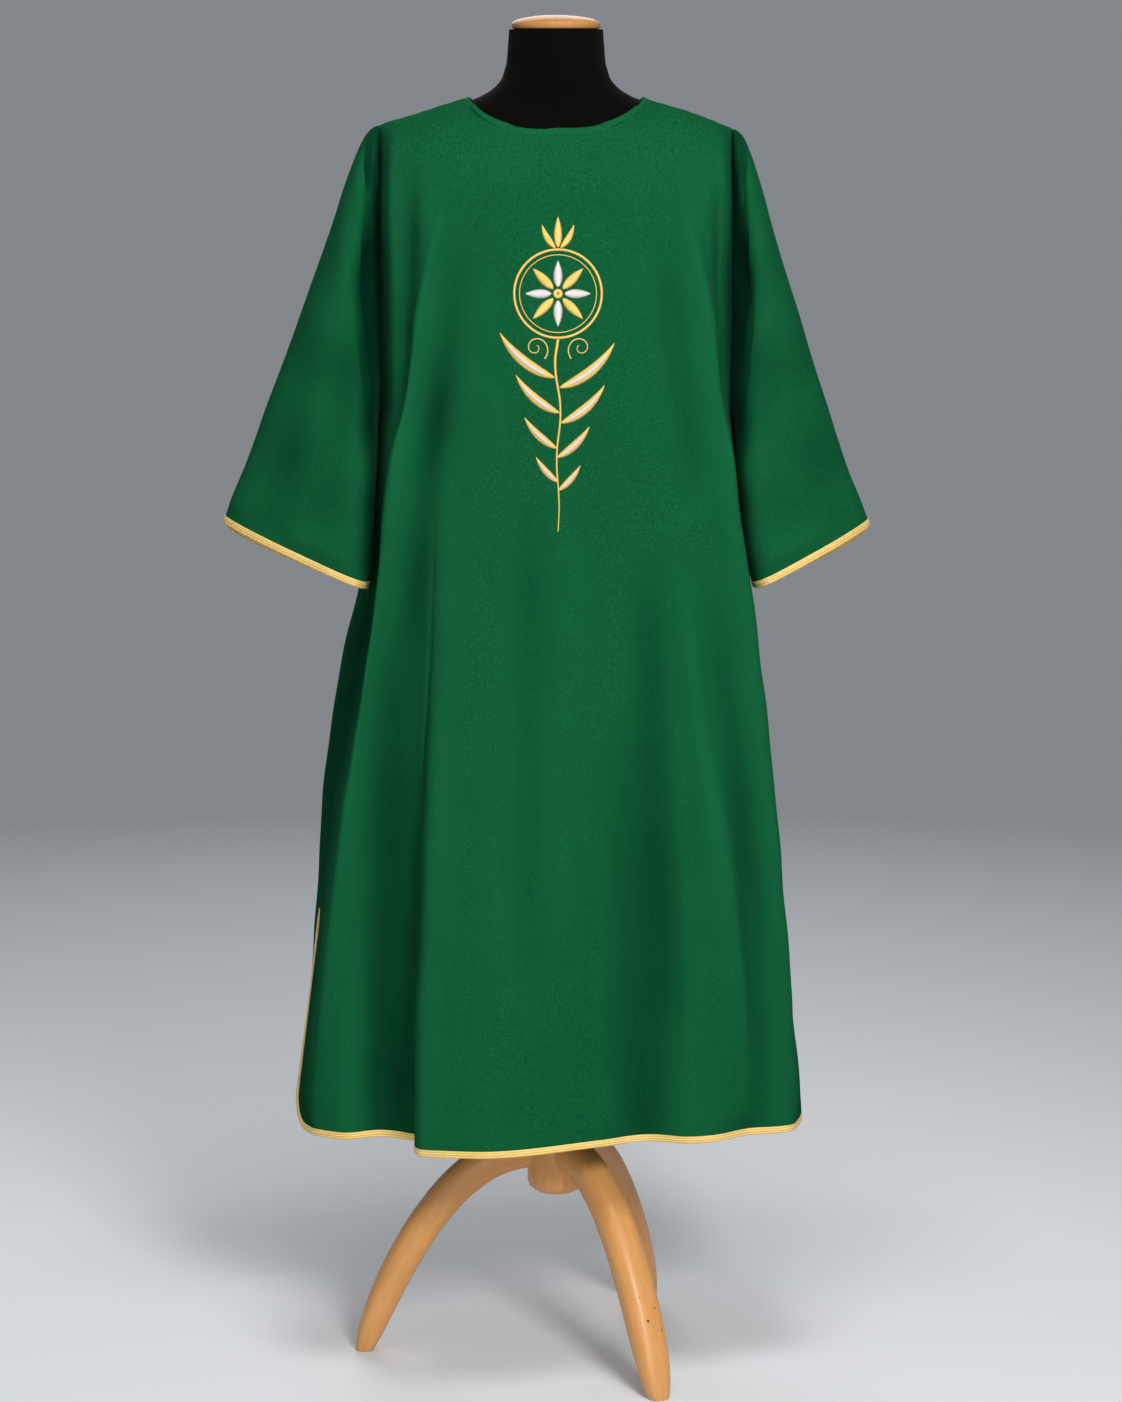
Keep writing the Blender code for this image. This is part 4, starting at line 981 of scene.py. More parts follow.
def tube_faces(stations, sides, closed=False):
    """Faces between rings of points, with a flat face at both ends where it isn't closed."""
    faces = []
    for k in range(stations if closed else stations - 1):
        after = (k + 1) % stations
        for i in range(sides):
            j = (i + 1) % sides
            faces.append((k * sides + i, k * sides + j, after * sides + j, after * sides + i))
    if not closed:
        faces.append(tuple(range(sides))[::-1])
        faces.append(tuple((stations - 1) * sides + i for i in range(sides)))
    return faces


def tape_lift(share):
    """How far a tape stands proud of the cloth, from the cloth's rim out to its own edge."""
    lift = TAPE_CROWN * (0.55 + 0.45 * math.sin(math.pi * min(share * 1.1, 1.0)))
    return lift - TAPE_CROWN * max(share - ROUNDED_FROM, 0.0) * 9.0


def edging(name, cloth_outer, cloth_inner, finished, closed, material, slot):
    """A tape folded over an edge: it meets the cloth's rim and rounds over at its end."""
    through = unit(cloth_outer - cloth_inner)
    out = finished - cloth_outer
    loop = [cloth_outer + out * share + through * tape_lift(share) for share in TAPE_SHARES]
    loop += [finished - through * WALL * share for share in (0.3, 0.7)]
    for share in reversed(TAPE_SHARES):
        loop.append(cloth_outer + out * share - through * (WALL + tape_lift(share)))
    sides, stations = len(loop), len(cloth_outer)
    points = np.stack(loop, axis=1)
    steps = np.linalg.norm(np.diff(finished, axis=0, prepend=finished[:1]), axis=-1)
    lay = np.zeros((stations, sides, 2))
    lay[..., 0] = np.cumsum(steps)[:, None]
    lay[..., 1] = np.linalg.norm(points - points[:, :1], axis=-1)
    faces = tube_faces(stations, sides, closed)
    return new_piece(name, points.reshape(-1, 3), faces, lay.reshape(-1, 2), material)


STITCH_RINGS = [
    # share of its length from the middle, share of its half width, share of its height
    (-0.5, 0.25, -0.2),
    (-0.28, 0.9, 0.75),
    (0.28, 0.9, 0.75),
    (0.5, 0.25, -0.2),
]
STITCH_TURNS = (0.0, 0.8, math.pi / 2, math.pi - 0.8, math.pi)


def stitches(name, path, facing, pitch, long, wide, proud, closed, material, slot):
    """A row of small thread stitches along a path of points, each a low rounded bar."""
    ends = np.concatenate([path, path[:1]]) if closed else path
    out = np.concatenate([facing, facing[:1]]) if closed else facing
    run = run_along(ends)
    count = int(run[-1] / pitch)
    at = (np.arange(count) + 0.5) * run[-1] / count

    def read(where, values):
        return np.stack([np.interp(where, run, values[:, i]) for i in range(3)], axis=-1)

    middle = read(at, ends)
    up = unit(read(at, out))
    along = unit(read(at + long / 2, ends) - read(at - long / 2, ends))
    aside = np.cross(along, up)
    points, faces, lay = [], [], []
    bar = tube_faces(len(STITCH_RINGS), len(STITCH_TURNS))
    for k in range(count):
        first = len(points)
        for share, half, lift in STITCH_RINGS:
            centre = middle[k] + along[k] * long * share
            for turn in STITCH_TURNS:
                side_way = aside[k] * math.cos(turn) * wide / 2.0 * half
                points.append(centre + side_way + up[k] * proud * (lift * math.sin(turn) - 0.15))
                lay.append((run[-1] * k / count + share * long, math.cos(turn) * wide / 2.0))
        faces += [tuple(first + corner for corner in face) for face in bar]
    return new_piece(name, points, faces, np.array(lay), material)


neck_columns = np.abs(panel_columns()) <= NECK_AT + 0.001
neck_s = panel_columns()[neck_columns]
neck_rims = []
for front_grid, back_grid in ((front_outer, back_outer), (front_inner, back_inner)):
    ring = np.concatenate([front_grid[0][neck_columns], back_grid[0][neck_columns][::-1][1:-1]])
    ring[[0, len(neck_s) - 1], 1] = 0.0
    neck_rims.append(ring)
neck_finished = np.concatenate(
    [shoulder(neck_s, 0.0, -1.0, 0.0), shoulder(neck_s, 0.0, 1.0, 0.0)[::-1][1:-1]]
)
green_tape = twill("green tape", (0.0080, 0.1080, 0.0390), (0.0040, 0.0800, 0.0280))
neck_edge = edging("neck_edge", *neck_rims, neck_finished, True, green_tape, "green")
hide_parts("neck_binding")

plain_thread = {"Roughness": 0.6, "Specular IOR Level": 0.05}
green_thread, thread_shader, lay = finish("green thread", plain_thread)
twist = (lay.part(0) + lay.part(1) * 1.5).wave(THREAD_PITCH)
thread_tone = lay.noise(300.0).mix((0.006, 0.075, 0.030), (0.022, 0.150, 0.066))
feed(thread_shader, {"Base Color": thread_tone, "Normal": bumped(twist, 0.4, 0.0002)})


def neck_row(below):
    """Points a given distance down the cloth from the neckline's finished edge."""
    rows = []
    for face, grid in ((-1.0, front_outer), (1.0, back_outer)):
        column_points = grid[:, neck_columns]
        run = np.linalg.norm(np.diff(column_points, axis=0, prepend=column_points[:1]), axis=-1)
        run = np.cumsum(run, axis=0)
        facing = face * normals_of(grid, False)[:, neck_columns]
        row = []
        for k in range(column_points.shape[1]):
            place = [np.interp(below, run[:, k], column_points[:, k, i]) for i in range(3)]
            row.append(place + [*facing[1, k]])
        rows.append(np.array(row))
    ring = np.concatenate([rows[0], rows[1][::-1][1:-1]])
    return ring[:, :3], ring[:, 3:]


edge_through = unit(neck_rims[0] - neck_rims[1])
edge_path = neck_rims[0] + (neck_finished - neck_rims[0]) * NECK_EDGE_ROW_AT
edge_path = edge_path + edge_through * NECK_EDGE_ROW_PROUD
neck_stitches = [
    stitches(name, *line, *NECK_THREAD, True, green_thread, "green")
    for name, line in (
        ("neck_stitches", neck_row(NECK_ROW_BELOW)),
        ("neck_edge_stitches", (edge_path, edge_through)),
    )
]

# ------------------------------------------------------------------ gold braid
# A woven gold tape, folded over every free edge: one length for each panel, up the slit,
# round the corners and along the hem, and a ring on each cuff. Its face has fine slanting
# cords. One row of glittering stitches runs along each panel's and two round each cuff's.
# The tape's two colours are a painted highlight tone and a painted shade tone of one gold.
GOLD_LIT_TONE, GOLD_SHADED_TONE = (1.000, 0.740, 0.230), (0.600, 0.320, 0.050)
TAPE_ROW = 0.0030
PANEL_THREAD = (0.0030, 0.0024, 0.0008, 0.0006)  # pitch, long, wide and proud
CUFF_THREAD = (0.0028, 0.0022, 0.0006, 0.0005)
PANEL_ROW_AT, CUFF_ROWS_AT = 0.42, (0.20, 0.34)
END_CLEARANCE = 4  # points of an open edge that its row of stitches keeps clear of each end


def cord_finish(name, light, deep, cord_pitch, slant, metal, rows=0.0):
    """Silky metallic cords that run slantwise across a tape or a satin stitch, in rows that lie along
    the tape. Its colour runs from the deep tone, painted shade, to the light tone, painted highlight.
    It is lighter on the cords' crests, along the rows and in fine painted glints, and darker between
    them and towards a satin band's edges, with a little cloudy unevenness of the thread's own tone."""
    constants = {"Metallic": metal, "Sheen Weight": 0.12, "Anisotropic": 0.3}
    material, shader, lay = finish(name, constants)
    cord = (lay.part(0) + lay.part(1) * slant).wave(cord_pitch)
    fleck = lay.noise(620.0, 2.0, 0.8)
    cloud = lay.noise(60.0, 2.0)
    row = lay.part(1).wave(TAPE_ROW)
    # Painted light: cord and row put a painted highlight on the crests and painted shade between
    # them, fleck adds painted glints, and the lay's third part adds painted shade towards a satin
    # band's edges. Cloud is the thread's own uneven tone.
    tone = cord * 0.45 + fleck * 1.5 + cloud * 0.35 + (row - 0.5) * rows - lay.part(2) * 0.55
    tone = (tone - 0.62).limited().mix(deep, light)
    raised = bumped(cord + fleck * 0.3 + row * rows, 0.55, 0.00035)
    feed(shader, {"Base Color": tone, "Roughness": 0.30 + cloud * 0.30, "Normal": raised})
    return material


gold_tape = cord_finish("gold tape", GOLD_LIT_TONE, GOLD_SHADED_TONE, 0.0011, 1.2, 0.15, 0.7)
# The glitter thread's two colours are a painted highlight tone and a painted shade tone.
gold_glitter = cord_finish(
    "gold glitter thread", (1.0, 0.92, 0.62), (0.90, 0.66, 0.26), 0.0007, 0.8, 0.2
)


def braided(name, node, edge, closed, rows, thread):
    """Gold tape over a free edge, and its rows of stitches at their shares of its width."""
    cloth_outer, cloth_inner, finished = edge
    tape = edging(name, *edge, closed, gold_tape, "gold")
    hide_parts(node)
    through = unit(cloth_outer - cloth_inner)
    kept = slice(None) if closed else slice(END_CLEARANCE, -END_CLEARANCE)
    made = [tape]
    for row_name, share in rows:
        line = cloth_outer + (finished - cloth_outer) * share + through * TAPE_CROWN
        row = stitches(row_name, line[kept], through[kept], *thread, closed, gold_glitter, "gold")
        made.append(row)
    return made


for face, outer, inner, label in (
    (-1.0, front_outer, front_inner, "front"),
    (1.0, back_outer, back_inner, "back"),
):
    s = panel_columns()
    first = len(SHOULDER_ROWS) + len(BODY_ROWS)
    edge_rows = np.array([slit_row(s, share, face, 0.0) for share in SLIT_ROWS])
    edge_rows[..., 1] = face * np.maximum(face * edge_rows[..., 1], SEAM / 2.0)
    rows, cols = outer.shape[:2]
    path = [(row, 0) for row in range(first + 1, rows)]
    path += [(rows - 1, col) for col in range(1, cols - 1)]
    path += [(row, cols - 1) for row in range(rows - 1, first, -1)]
    edge = [np.array([grid[at] for at in path]) for grid in (outer, inner)]
    edge.append(np.array([edge_rows[row - first, col] for row, col in path]))
    row_of = [(f"braid_stitches_{label}", PANEL_ROW_AT)]
    braided(f"braid_{label}", f"trim_{label}", edge, False, row_of, PANEL_THREAD)
for side, label in ((-1.0, "left"), (1.0, "right")):
    _, outer, inner, table = sleeves[side]
    finished = sleeve_point(table, side, np.ones_like(SLEEVE_TURNS), SLEEVE_TURNS)
    edge = [outer[-1], inner[-1], finished]
    rows_of = [(f"braid_stitches_{label}_{k + 1}", share) for k, share in enumerate(CUFF_ROWS_AT)]
    node = f"trim_sleeve_{label}"
    braided(f"braid_sleeve_{label}", node, edge, True, rows_of, CUFF_THREAD)

# ------------------------------------------------------------------ chest embroidery
# Raised satin stitch in gold and silver thread: a rosette in a ring, and below it two curls
# and a stem with slim leaves. Every band is laid on the front panel's own surface.
SATIN_H, SATIN_FULL_WIDTH = 0.0013, 0.0028
SATIN_OFFSETS = (-1.0, -0.82, -0.5, 0.0, 0.5, 0.82, 1.0)
UNDER_OFFSETS, UNDER_DEEP = (0.8, -0.8), 0.0004
DESIGN_X = 0.0024
RING_Z, RING_R = 1.3380, 0.0520
chest = slice(len(SHOULDER_ROWS), len(SHOULDER_ROWS) + 60)
chest_x = np.linspace(-0.13, 0.13, 131)
chest_z = front_outer[chest, 0, 2][::-1]
chest_y = np.array([np.interp(chest_x, row[:, 0], row[:, 1]) for row in front_outer[chest]])[::-1]


def on_chest(x, z):
    """The point of the front panel's face at x and z, and the way it faces there."""
    def depth(x, z):
        at_x = np.interp(x, chest_x, np.arange(len(chest_x)))
        at_z = np.interp(z, chest_z, np.arange(len(chest_z)))
        i = np.minimum(at_x.astype(int), len(chest_x) - 2)
        j = np.minimum(at_z.astype(int), len(chest_z) - 2)
        u, v = at_x - i, at_z - j
        low = chest_y[j, i] * (1 - u) + chest_y[j, i + 1] * u
        high = chest_y[j + 1, i] * (1 - u) + chest_y[j + 1, i + 1] * u
        return low * (1 - v) + high * v

    step = 0.004
    slope_x = (depth(x + step, z) - depth(x - step, z)) / (2.0 * step)
    slope_z = (depth(x, z + step) - depth(x, z - step)) / (2.0 * step)
    facing = unit(np.stack([slope_x, -np.ones_like(x), slope_z], axis=-1))
    return np.stack([x, depth(x, z), z], axis=-1), facing


def satin(centre, widths, base=0.0):
    """Points, faces and lay of one raised band along a line of x and z."""
    along = unit(np.gradient(centre, axis=0))
    aside = np.stack([-along[:, 1], along[:, 0]], axis=-1)
    run = run_along(centre)
    full = SATIN_H * np.minimum(widths / SATIN_FULL_WIDTH, 1.0) ** 0.5
    profile = [(offset, base + full * math.sqrt(1.0 - offset**2)) for offset in SATIN_OFFSETS]
    profile += [(offset, np.full_like(full, -UNDER_DEEP)) for offset in UNDER_OFFSETS]
    points, lay = [], []
    for offset, lift in profile:
        out = offset * widths / 2.0
        place = centre + aside * out[:, None]
        spot, facing = on_chest(place[:, 0], place[:, 1])
        points.append(spot + facing * lift[:, None])
        # The lay's third part grows towards the band's edges, where the satin's finish puts painted
        # shade.
        lay.append(np.stack([run, out, np.full_like(run, abs(offset) ** 3)], axis=-1))
    faces = tube_faces(len(centre), len(profile))
    return np.stack(points, axis=1).reshape(-1, 3), faces, np.stack(lay, axis=1).reshape(-1, 3)


def sewn(name, bands, material):
    """Joins bands of satin stitch into one piece."""
    points, faces, lay = [], [], []
    for band_points, band_faces, band_lay in bands:
        first = sum(len(p) for p in points)
        points.append(band_points)
        lay.append(band_lay)
        faces += [tuple(first + k for k in face) for face in band_faces]
    return new_piece(name, np.concatenate(points), faces, np.concatenate(lay), material)


def curve(points, count=40):
    """A smooth line through a few x, z points."""
    points = np.asarray(points, float)
    knots = np.linspace(0.0, 1.0, len(points))
    at = np.linspace(0.0, 1.0, count)
    return np.stack([soft(at, knots, points[:, i], 0.5 / len(points)) for i in (0, 1)], axis=-1)


def leaf(x, z, angle, long, wide, bend=0.0, count=26):
    """Centre line and widths of a slim leaf that grows from x, z at an angle from upright."""
    share = np.linspace(0.0, 1.0, count)
    turn = math.radians(angle) + math.radians(bend) * share
    step = long / (count - 1)
    out, up = np.cumsum(np.sin(turn)) * step, np.cumsum(np.cos(turn)) * step
    line = np.stack([x + out, z + up], axis=-1)
    widths = wide * np.sin(np.pi * share**0.8) ** 0.8 + 0.0005
    return line, widths


def ring_band(x, z, radius, width, count=90):
    """Centre line and widths of a ring round x, z."""
    turn = np.radians(np.linspace(0.0, 360.0, count))
    line = np.stack([x + radius * np.sin(turn), z + radius * np.cos(turn)], axis=-1)
    return line, np.full(count, width)


STEM = curve(
    [(DESIGN_X, 1.284), (DESIGN_X - 0.005, 1.252), (DESIGN_X + 0.005, 1.200)]
    + [(DESIGN_X - 0.003, 1.145), (DESIGN_X + 0.002, 1.090), (DESIGN_X, 1.056)],
    60,
)
LEAVES = [
    # z on the stem, side, angle, long, wide, bend
    (1.238, -1.0, 74.0, 0.086, 0.0120, -44.0),
    (1.226, 1.0, 74.0, 0.086, 0.0120, -44.0),
    (1.196, -1.0, 70.0, 0.070, 0.0106, -40.0),
    (1.184, 1.0, 70.0, 0.070, 0.0106, -40.0),
    (1.154, -1.0, 64.0, 0.054, 0.0090, -34.0),
    (1.143, 1.0, 64.0, 0.054, 0.0090, -34.0),
    (1.114, -1.0, 56.0, 0.040, 0.0074, -28.0),
    (1.104, 1.0, 56.0, 0.040, 0.0074, -28.0),
]
RING_WIDE, INNER_RING_IN, INNER_RING_WIDE = 0.0032, 0.0062, 0.0014
CROWN_Z = RING_Z + RING_R + 0.001
CROWN_LEAVES = [
    # x from the middle, angle, long, wide, bend
    (0.0, 0.0, 0.036, 0.0090, 0.0),
    (-0.002, -48.0, 0.032, 0.0070, 34.0),
    (0.002, 48.0, 0.032, 0.0070, -34.0),
]
PETALS, PETAL_FROM, PETAL_WIDE = 8, 0.0065, 0.0100
GOLD_PETAL, SILVER_PETAL = 0.0340, 0.0310
VEIN_WIDE, VEIN_LIFT = 0.42, 0.0006
CURL_X, CURL_Z, CURL_R, CURL_TURNS = 0.0270, 1.2740, 0.0170, 1.3
gold_bands = [
    satin(*ring_band(DESIGN_X, RING_Z, RING_R, RING_WIDE)),
    satin(*ring_band(DESIGN_X, RING_Z, RING_R - INNER_RING_IN, INNER_RING_WIDE)),
    satin(STEM, np.linspace(0.0036, 0.0016, 60)),
]
for aside, *growth in CROWN_LEAVES:
    gold_bands.append(satin(*leaf(DESIGN_X + aside, CROWN_Z, *growth)))
silver_bands = []
for z, side, angle, long, wide, bend in LEAVES:
    x = float(np.interp(-z, -STEM[:, 1], STEM[:, 0])) - side * 0.0016
    centre, widths = leaf(x, z, side * angle, long, wide, side * bend)
    gold_bands.append(satin(centre, widths))
    silver_bands.append(satin(centre[4:-5], widths[4:-5] * VEIN_WIDE, VEIN_LIFT))
for k in range(PETALS):
    angle = 360.0 / PETALS * k
    x = DESIGN_X + PETAL_FROM * math.sin(math.radians(angle))
    z = RING_Z + PETAL_FROM * math.cos(math.radians(angle))
    band = satin(*leaf(x, z, angle, GOLD_PETAL if k % 2 else SILVER_PETAL, PETAL_WIDE))
    (gold_bands if k % 2 else silver_bands).append(band)
gold_bands.append(satin(*ring_band(DESIGN_X, RING_Z, 0.0032, 0.0052, count=40), 0.0004))
for side in (-1.0, 1.0):
    turn = np.linspace(0.0, CURL_TURNS * 2.0 * math.pi, 70)
    radius = CURL_R * np.exp(-turn / 5.2)
    centre_x = DESIGN_X + side * CURL_X
    spiral = [centre_x + side * radius * np.cos(turn + 2.3), CURL_Z - radius * np.sin(turn + 2.3)]
    spiral = np.stack(spiral, axis=-1)
    gold_bands.append(satin(spiral, np.linspace(0.0020, 0.0012, 70)))
SATIN_CORD = (0.0012, 0.15, 0.20)  # pitch, slant and how metallic
# Each satin stitch's two colours are a painted highlight tone and a painted shade tone of its thread.
gold_satin = cord_finish(
    "gold satin stitch", (1.000, 0.760, 0.200), (0.480, 0.250, 0.030), *SATIN_CORD
)
silver_satin = cord_finish(
    "silver satin stitch", (0.900, 0.840, 0.820), (0.360, 0.310, 0.300), *SATIN_CORD
)
embroidery = [
    sewn("embroidery_gold", gold_bands, gold_satin),
    sewn("embroidery_silver", silver_bands, silver_satin),
]

# ------------------------------------------------------------------ dress form
# A limbless trunk with a neck, padded smooth and covered in black jersey, with flat
# seams down its front, back and sides.
TORSO = [
    # z, half_width, front, back, power
    (0.8000, 0.150, 0.095, 0.105, 2.3),
    (0.8150, 0.160, 0.103, 0.114, 2.3),
    (0.9000, 0.166, 0.106, 0.120, 2.3),
    (1.0000, 0.160, 0.104, 0.108, 2.3),
    (1.1000, 0.150, 0.104, 0.096, 2.3),
    (1.2000, 0.156, 0.114, 0.100, 2.3),
    (1.3000, 0.168, 0.122, 0.110, 2.3),
    (1.3800, 0.178, 0.120, 0.112, 2.3),
    (1.4400, 0.190, 0.110, 0.106, 2.2),
    (1.4850, 0.199, 0.096, 0.094, 2.1),
    (1.5080, 0.200, 0.084, 0.082, 2.0),
    (1.5230, 0.196, 0.072, 0.070, 1.9),
    (1.5335, 0.186, 0.064, 0.062, 1.8),
    (1.5461, 0.160, 0.060, 0.058, 1.8),
    (1.5556, 0.135, 0.058, 0.056, 1.8),
    (1.5621, 0.115, 0.057, 0.055, 1.8),
    (1.5663, 0.098, 0.056, 0.055, 1.9),
    (1.5780, 0.077, 0.056, 0.055, 2.0),
    (1.5900, 0.066, 0.056, 0.056, 2.0),
    (1.6100, 0.060, 0.055, 0.056, 2.0),
    (1.6500, 0.057, 0.054, 0.056, 2.0),
]
TORSO_TURNS = np.linspace(0.0, 2.0 * math.pi, 145)[:-1]
JERSEY_SEAMS = [0.0, 0.50, -0.50, math.pi / 2, -math.pi / 2, math.pi, math.pi - 0.45, 0.45 - math.pi]
JERSEY_SEAM_DEEP, JERSEY_SEAM_WIDE = 0.0006, 0.0020
SHOULDER_START_Z = 1.48


def lofted(name, rings, lay, material):
    """A closed form through rings of points, flat at both ends."""
    faces = tube_faces(*rings.shape[:2])
    return new_piece(name, rings.reshape(-1, 3), faces, lay.reshape(-1, 2), material)


low_heights = np.linspace(TORSO[0][0], SHOULDER_START_Z, 70)[:-1]
torso_heights = np.concatenate([low_heights, np.linspace(SHOULDER_START_Z, TORSO[-1][0], 60)])
torso_rings = []
for z in torso_heights:
    half_width, front, back, power = (float(column(TORSO, i, z, 0.004)) for i in (1, 2, 3, 4))
    x = half_width * signed_power(np.sin(TORSO_TURNS), 2.0 / power)
    y = signed_power(np.cos(TORSO_TURNS), 2.0 / power)
    y = np.where(y > 0, -front * y, -back * y)
    seam = np.zeros_like(x)
    for at in JERSEY_SEAMS:
        off = (TORSO_TURNS - at + math.pi) % (2.0 * math.pi) - math.pi
        seam += np.exp(-((off * half_width / JERSEY_SEAM_WIDE) ** 2))
    pulled = 1.0 - JERSEY_SEAM_DEEP * seam / np.hypot(x, y)
    torso_rings.append(np.stack([x * pulled, y * pulled, np.full_like(x, z)], axis=-1))
torso_rings = np.array(torso_rings)
torso_lay = np.stack(np.meshgrid(TORSO_TURNS * 0.15, torso_heights), axis=-1)
dull = {"Roughness": 0.85, "Sheen Weight": 0.01, "Specular IOR Level": 0.03}
jersey, jersey_shader, lay = finish("black jersey", dull)
knit = lay.part(0).wave(0.0011) * 0.6 + lay.part(1).wave(0.0014) * 0.4
lint = lay.noise(350.0, 3.0, 0.7)
jersey_tone = (lint * 0.6 + knit * 0.4 - 0.2).limited()
jersey_tone = jersey_tone.mix((0.0014, 0.0011, 0.0009), (0.0046, 0.0038, 0.0030))
feed(jersey_shader, {"Base Color": jersey_tone, "Normal": bumped(knit + lint * 0.5, 0.4, 0.0003)})
torso = lofted("torso_jersey", torso_rings, torso_lay, jersey)
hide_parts("form_torso")

# ------------------------------------------------------------------ cap, pole and hub
# Turned beech with a satin varnish: a domed cap on the neck, a round pole and a hub that
# takes the three legs.
CAP_R, CAP_H, CAP_RIM_H = 0.0535, 0.0170, 0.0060
POLE_R, HUB_R, HUB_LOW, HUB_HIGH = 0.0165, 0.0360, 0.205, 0.330
BEECH_LIGHT, BEECH_MIDDLE = (0.700, 0.350, 0.115), (0.520, 0.225, 0.060)
BEECH_DARK, BEECH_KNOT = (0.300, 0.105, 0.022), (0.060, 0.022, 0.008)


def beech(name, knots=(), depth=1.0, varnish=0.12):
    """Varnished beech: long streaks with the grain, short dark flecks and a few knots."""
    middle, light = [tuple(part * depth for part in tone) for tone in (BEECH_MIDDLE, BEECH_LIGHT)]
    constants = {"Coat Weight": varnish, "Coat Roughness": 0.30}
    constants["Specular IOR Level"] = varnish * 3.0
    material, shader, lay = finish(name, constants)
    streak = lay.stretched(1.0, 9.0, 1.0).noise(18.0, 4.0, 0.6)
    fleck = lay.stretched(1.0, 6.0, 1.0).noise(260.0, 1.0)
    tone = streak.mix(middle, light)
    tone = ((fleck - 0.60) * 3.0).limited().mix(tone, BEECH_DARK)
    for along, around, radius in knots:
        ends = {0: lay, 1: (along, around, 0.0)}
        off = lay.node("ShaderNodeVectorMath", {"operation": "DISTANCE"}, ends, out=1)
        tone = ((radius - off) * (1.6 / radius)).limited().mix(tone, BEECH_KNOT)
    pores = bumped(streak + fleck * 0.4, 0.12, 0.0004)
    feed(shader, {"Base Color": tone, "Roughness": 0.32 + fleck * 0.16, "Normal": pores})
    return material


def turned(name, profile, material, node, sides=96):
    """A piece turned on the lathe, from its profile of radius and height."""
    turns = np.linspace(0.0, 2.0 * math.pi, sides + 1)[:-1]
    profile = np.array(profile)
    radius, height = profile[:, :1], profile[:, 1:]
    rings = np.stack([radius * np.sin(turns), radius * np.cos(turns), height + 0.0 * turns], axis=-1)
    lay = np.stack(np.meshgrid(run_along(profile), turns * radius.max(), indexing="ij"), axis=-1)
    piece = lofted(name, rings, lay, material)
    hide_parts(node)
    return piece


beech_finish = beech("varnished beech")
top = TORSO[-1][0] + 0.0003
rim = top + CAP_RIM_H
cap_profile = [(CAP_R - 0.004, top), (CAP_R - 0.0012, top + 0.0006), (CAP_R, top + 0.0022)]
for turn in np.linspace(math.pi / 2, 0.04, 22):
    cap_profile.append((CAP_R * math.sin(turn), rim + (CAP_H - CAP_RIM_H) * math.cos(turn)))
turned("neck_cap", cap_profile, beech("capping beech", (), 0.72, 0.04), "form_neck_cap")
pole_profile = [(POLE_R, z) for z in (HUB_HIGH - 0.01, 0.55, TORSO[0][0])]
turned("pole", pole_profile, beech_finish, "form_pole")
turned(
    "hub",
    [
        (HUB_R - 0.018, HUB_LOW),
        (HUB_R - 0.015, HUB_LOW + 0.0006),
        (HUB_R - 0.008, HUB_LOW + 0.004),
        (HUB_R - 0.002, HUB_LOW + 0.009),
        (HUB_R, HUB_LOW + 0.016),
        (HUB_R, HUB_HIGH - 0.034),
        (HUB_R - 0.0012, HUB_HIGH - 0.032),
        (HUB_R, HUB_HIGH - 0.030),
        (HUB_R - 0.001, HUB_HIGH - 0.024),
        (HUB_R - 0.006, HUB_HIGH - 0.016),
        (POLE_R + 0.009, HUB_HIGH - 0.007),
        (POLE_R + 0.005, HUB_HIGH),
        (POLE_R + 0.0005, HUB_HIGH),
    ],
    beech_finish,
    "form_hub",
)

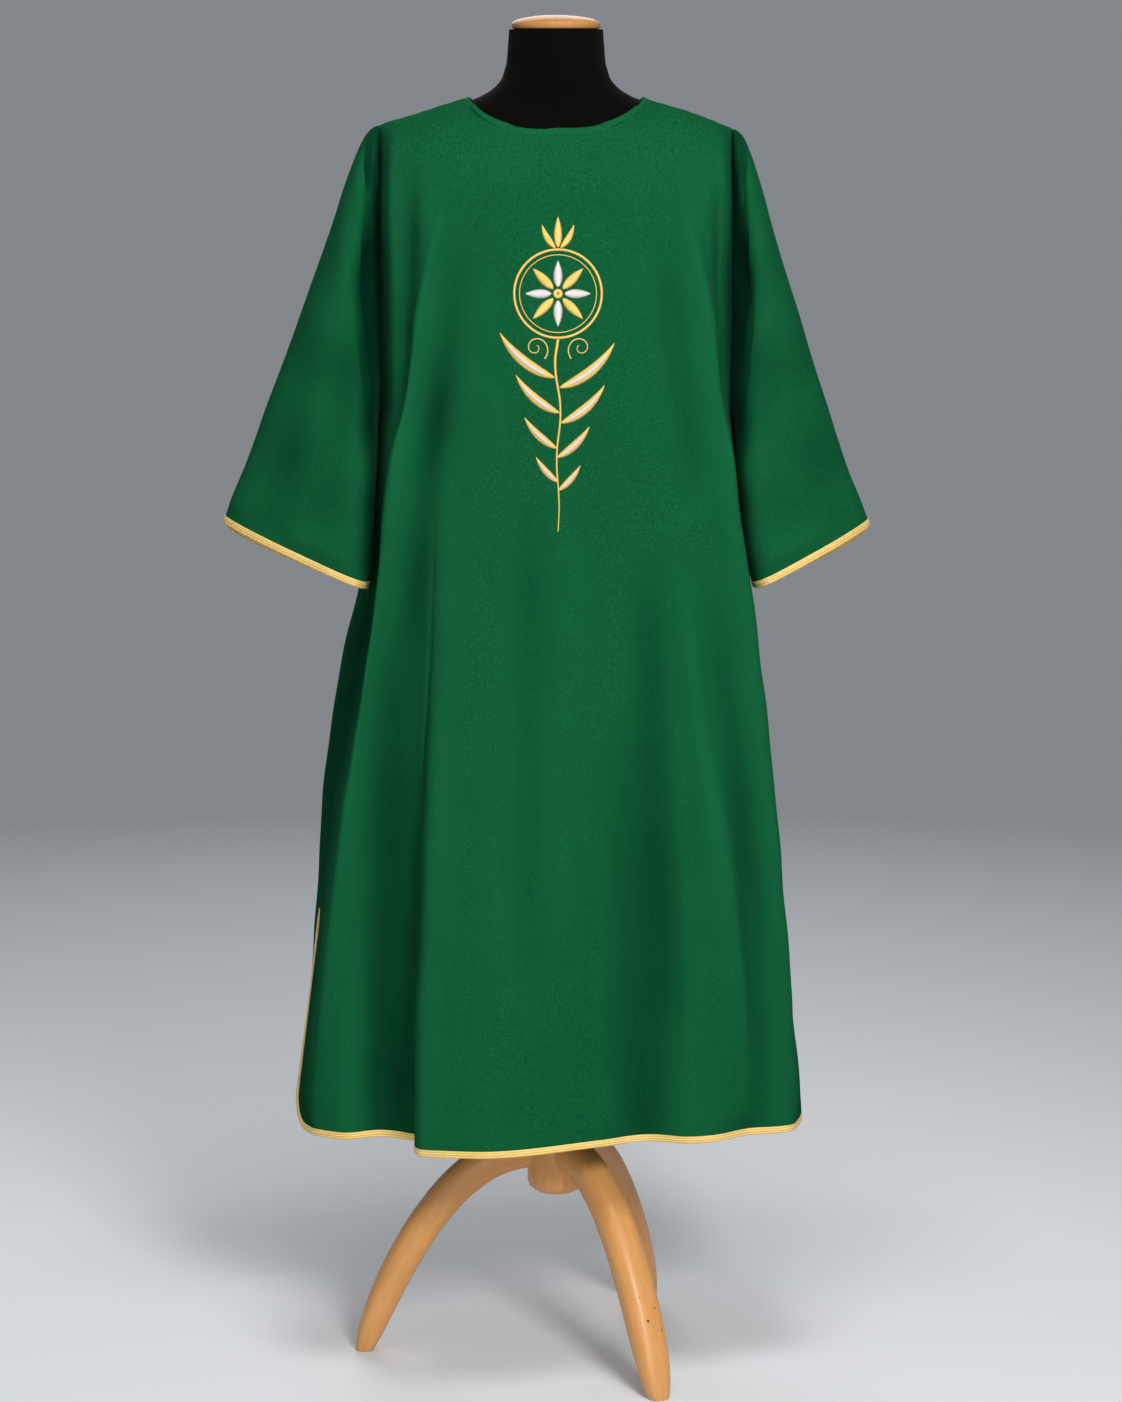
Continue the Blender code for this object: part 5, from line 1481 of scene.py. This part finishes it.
# ------------------------------------------------------------------ legs
# Three bent beech legs, let into the hub, that taper to rounded toes cut flat on the
# floor. The one towards the front right has a few small knots near its toe.
LEG = [
    # out, z, half_width, half_height
    (0.020, 0.262, 0.0200, 0.0240),
    (0.060, 0.258, 0.0205, 0.0240),
    (0.105, 0.234, 0.0215, 0.0225),
    (0.150, 0.188, 0.0225, 0.0215),
    (0.190, 0.126, 0.0230, 0.0210),
    (0.218, 0.068, 0.0225, 0.0195),
    (0.234, 0.028, 0.0195, 0.0165),
    (0.242, 0.006, 0.0145, 0.0125),
    (0.246, -0.008, 0.0090, 0.0080),
]
LEG_ANGLES = (31.0, 151.0, 271.0)
LEG_TURNS = np.linspace(0.0, 2.0 * math.pi, 49)[:-1]
LEG_SQUARENESS = 2.4
TOE_KNOTS = [
    # along, around, radius
    (0.272, 0.004, 0.0022),
    (0.258, -0.006, 0.0015),
    (0.285, -0.010, 0.0018),
    (0.243, 0.008, 0.0013),
]


def leg(name, angle, material, node):
    """A bent leg as a loft of rounded sections square to its centre line."""
    knots = np.linspace(0.0, 1.0, len(LEG))
    at = np.linspace(0.0, 1.0, 60)
    out, z, half_w, half_h = (soft(at, knots, [row[i] for row in LEG], 0.07) for i in range(4))
    path = np.stack([out, z], axis=-1)
    along = unit(np.gradient(path, axis=0))
    run = run_along(path)
    wide = signed_power(np.sin(LEG_TURNS), 2.0 / LEG_SQUARENESS)
    high = signed_power(np.cos(LEG_TURNS), 2.0 / LEG_SQUARENESS)
    turn = math.radians(180.0 + angle)
    c, s = math.cos(turn), math.sin(turn)
    local_x = half_w[:, None] * wide
    local_y = out[:, None] - along[:, 1:] * half_h[:, None] * high
    local_z = z[:, None] + along[:, :1] * half_h[:, None] * high
    rings = np.stack([c * local_x - s * local_y, s * local_x + c * local_y, local_z], axis=-1)
    around = np.where(LEG_TURNS > math.pi, LEG_TURNS - 2.0 * math.pi, LEG_TURNS) * 0.021
    lay = np.stack([run[:, None] + 0.0 * around, 0.0 * run[:, None] + around], axis=-1)
    piece = lofted(name, rings, lay, material)
    shell = bmesh.new()
    shell.from_mesh(piece.data)
    parts = [*shell.verts, *shell.edges, *shell.faces]
    cut = bmesh.ops.bisect_plane(
        shell, geom=parts, plane_co=(0, 0, 0), plane_no=(0, 0, 1), clear_inner=True
    )
    edges = [item for item in cut["geom_cut"] if isinstance(item, bmesh.types.BMEdge)]
    bmesh.ops.holes_fill(shell, edges=edges)
    shell.to_mesh(piece.data)
    shell.free()
    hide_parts(node)


leg("leg_front_right", LEG_ANGLES[0], beech("knotty beech", TOE_KNOTS), "leg_1")
leg("leg_back_right", LEG_ANGLES[1], beech_finish, "leg_2")
leg("leg_left", LEG_ANGLES[2], beech_finish, "leg_3")
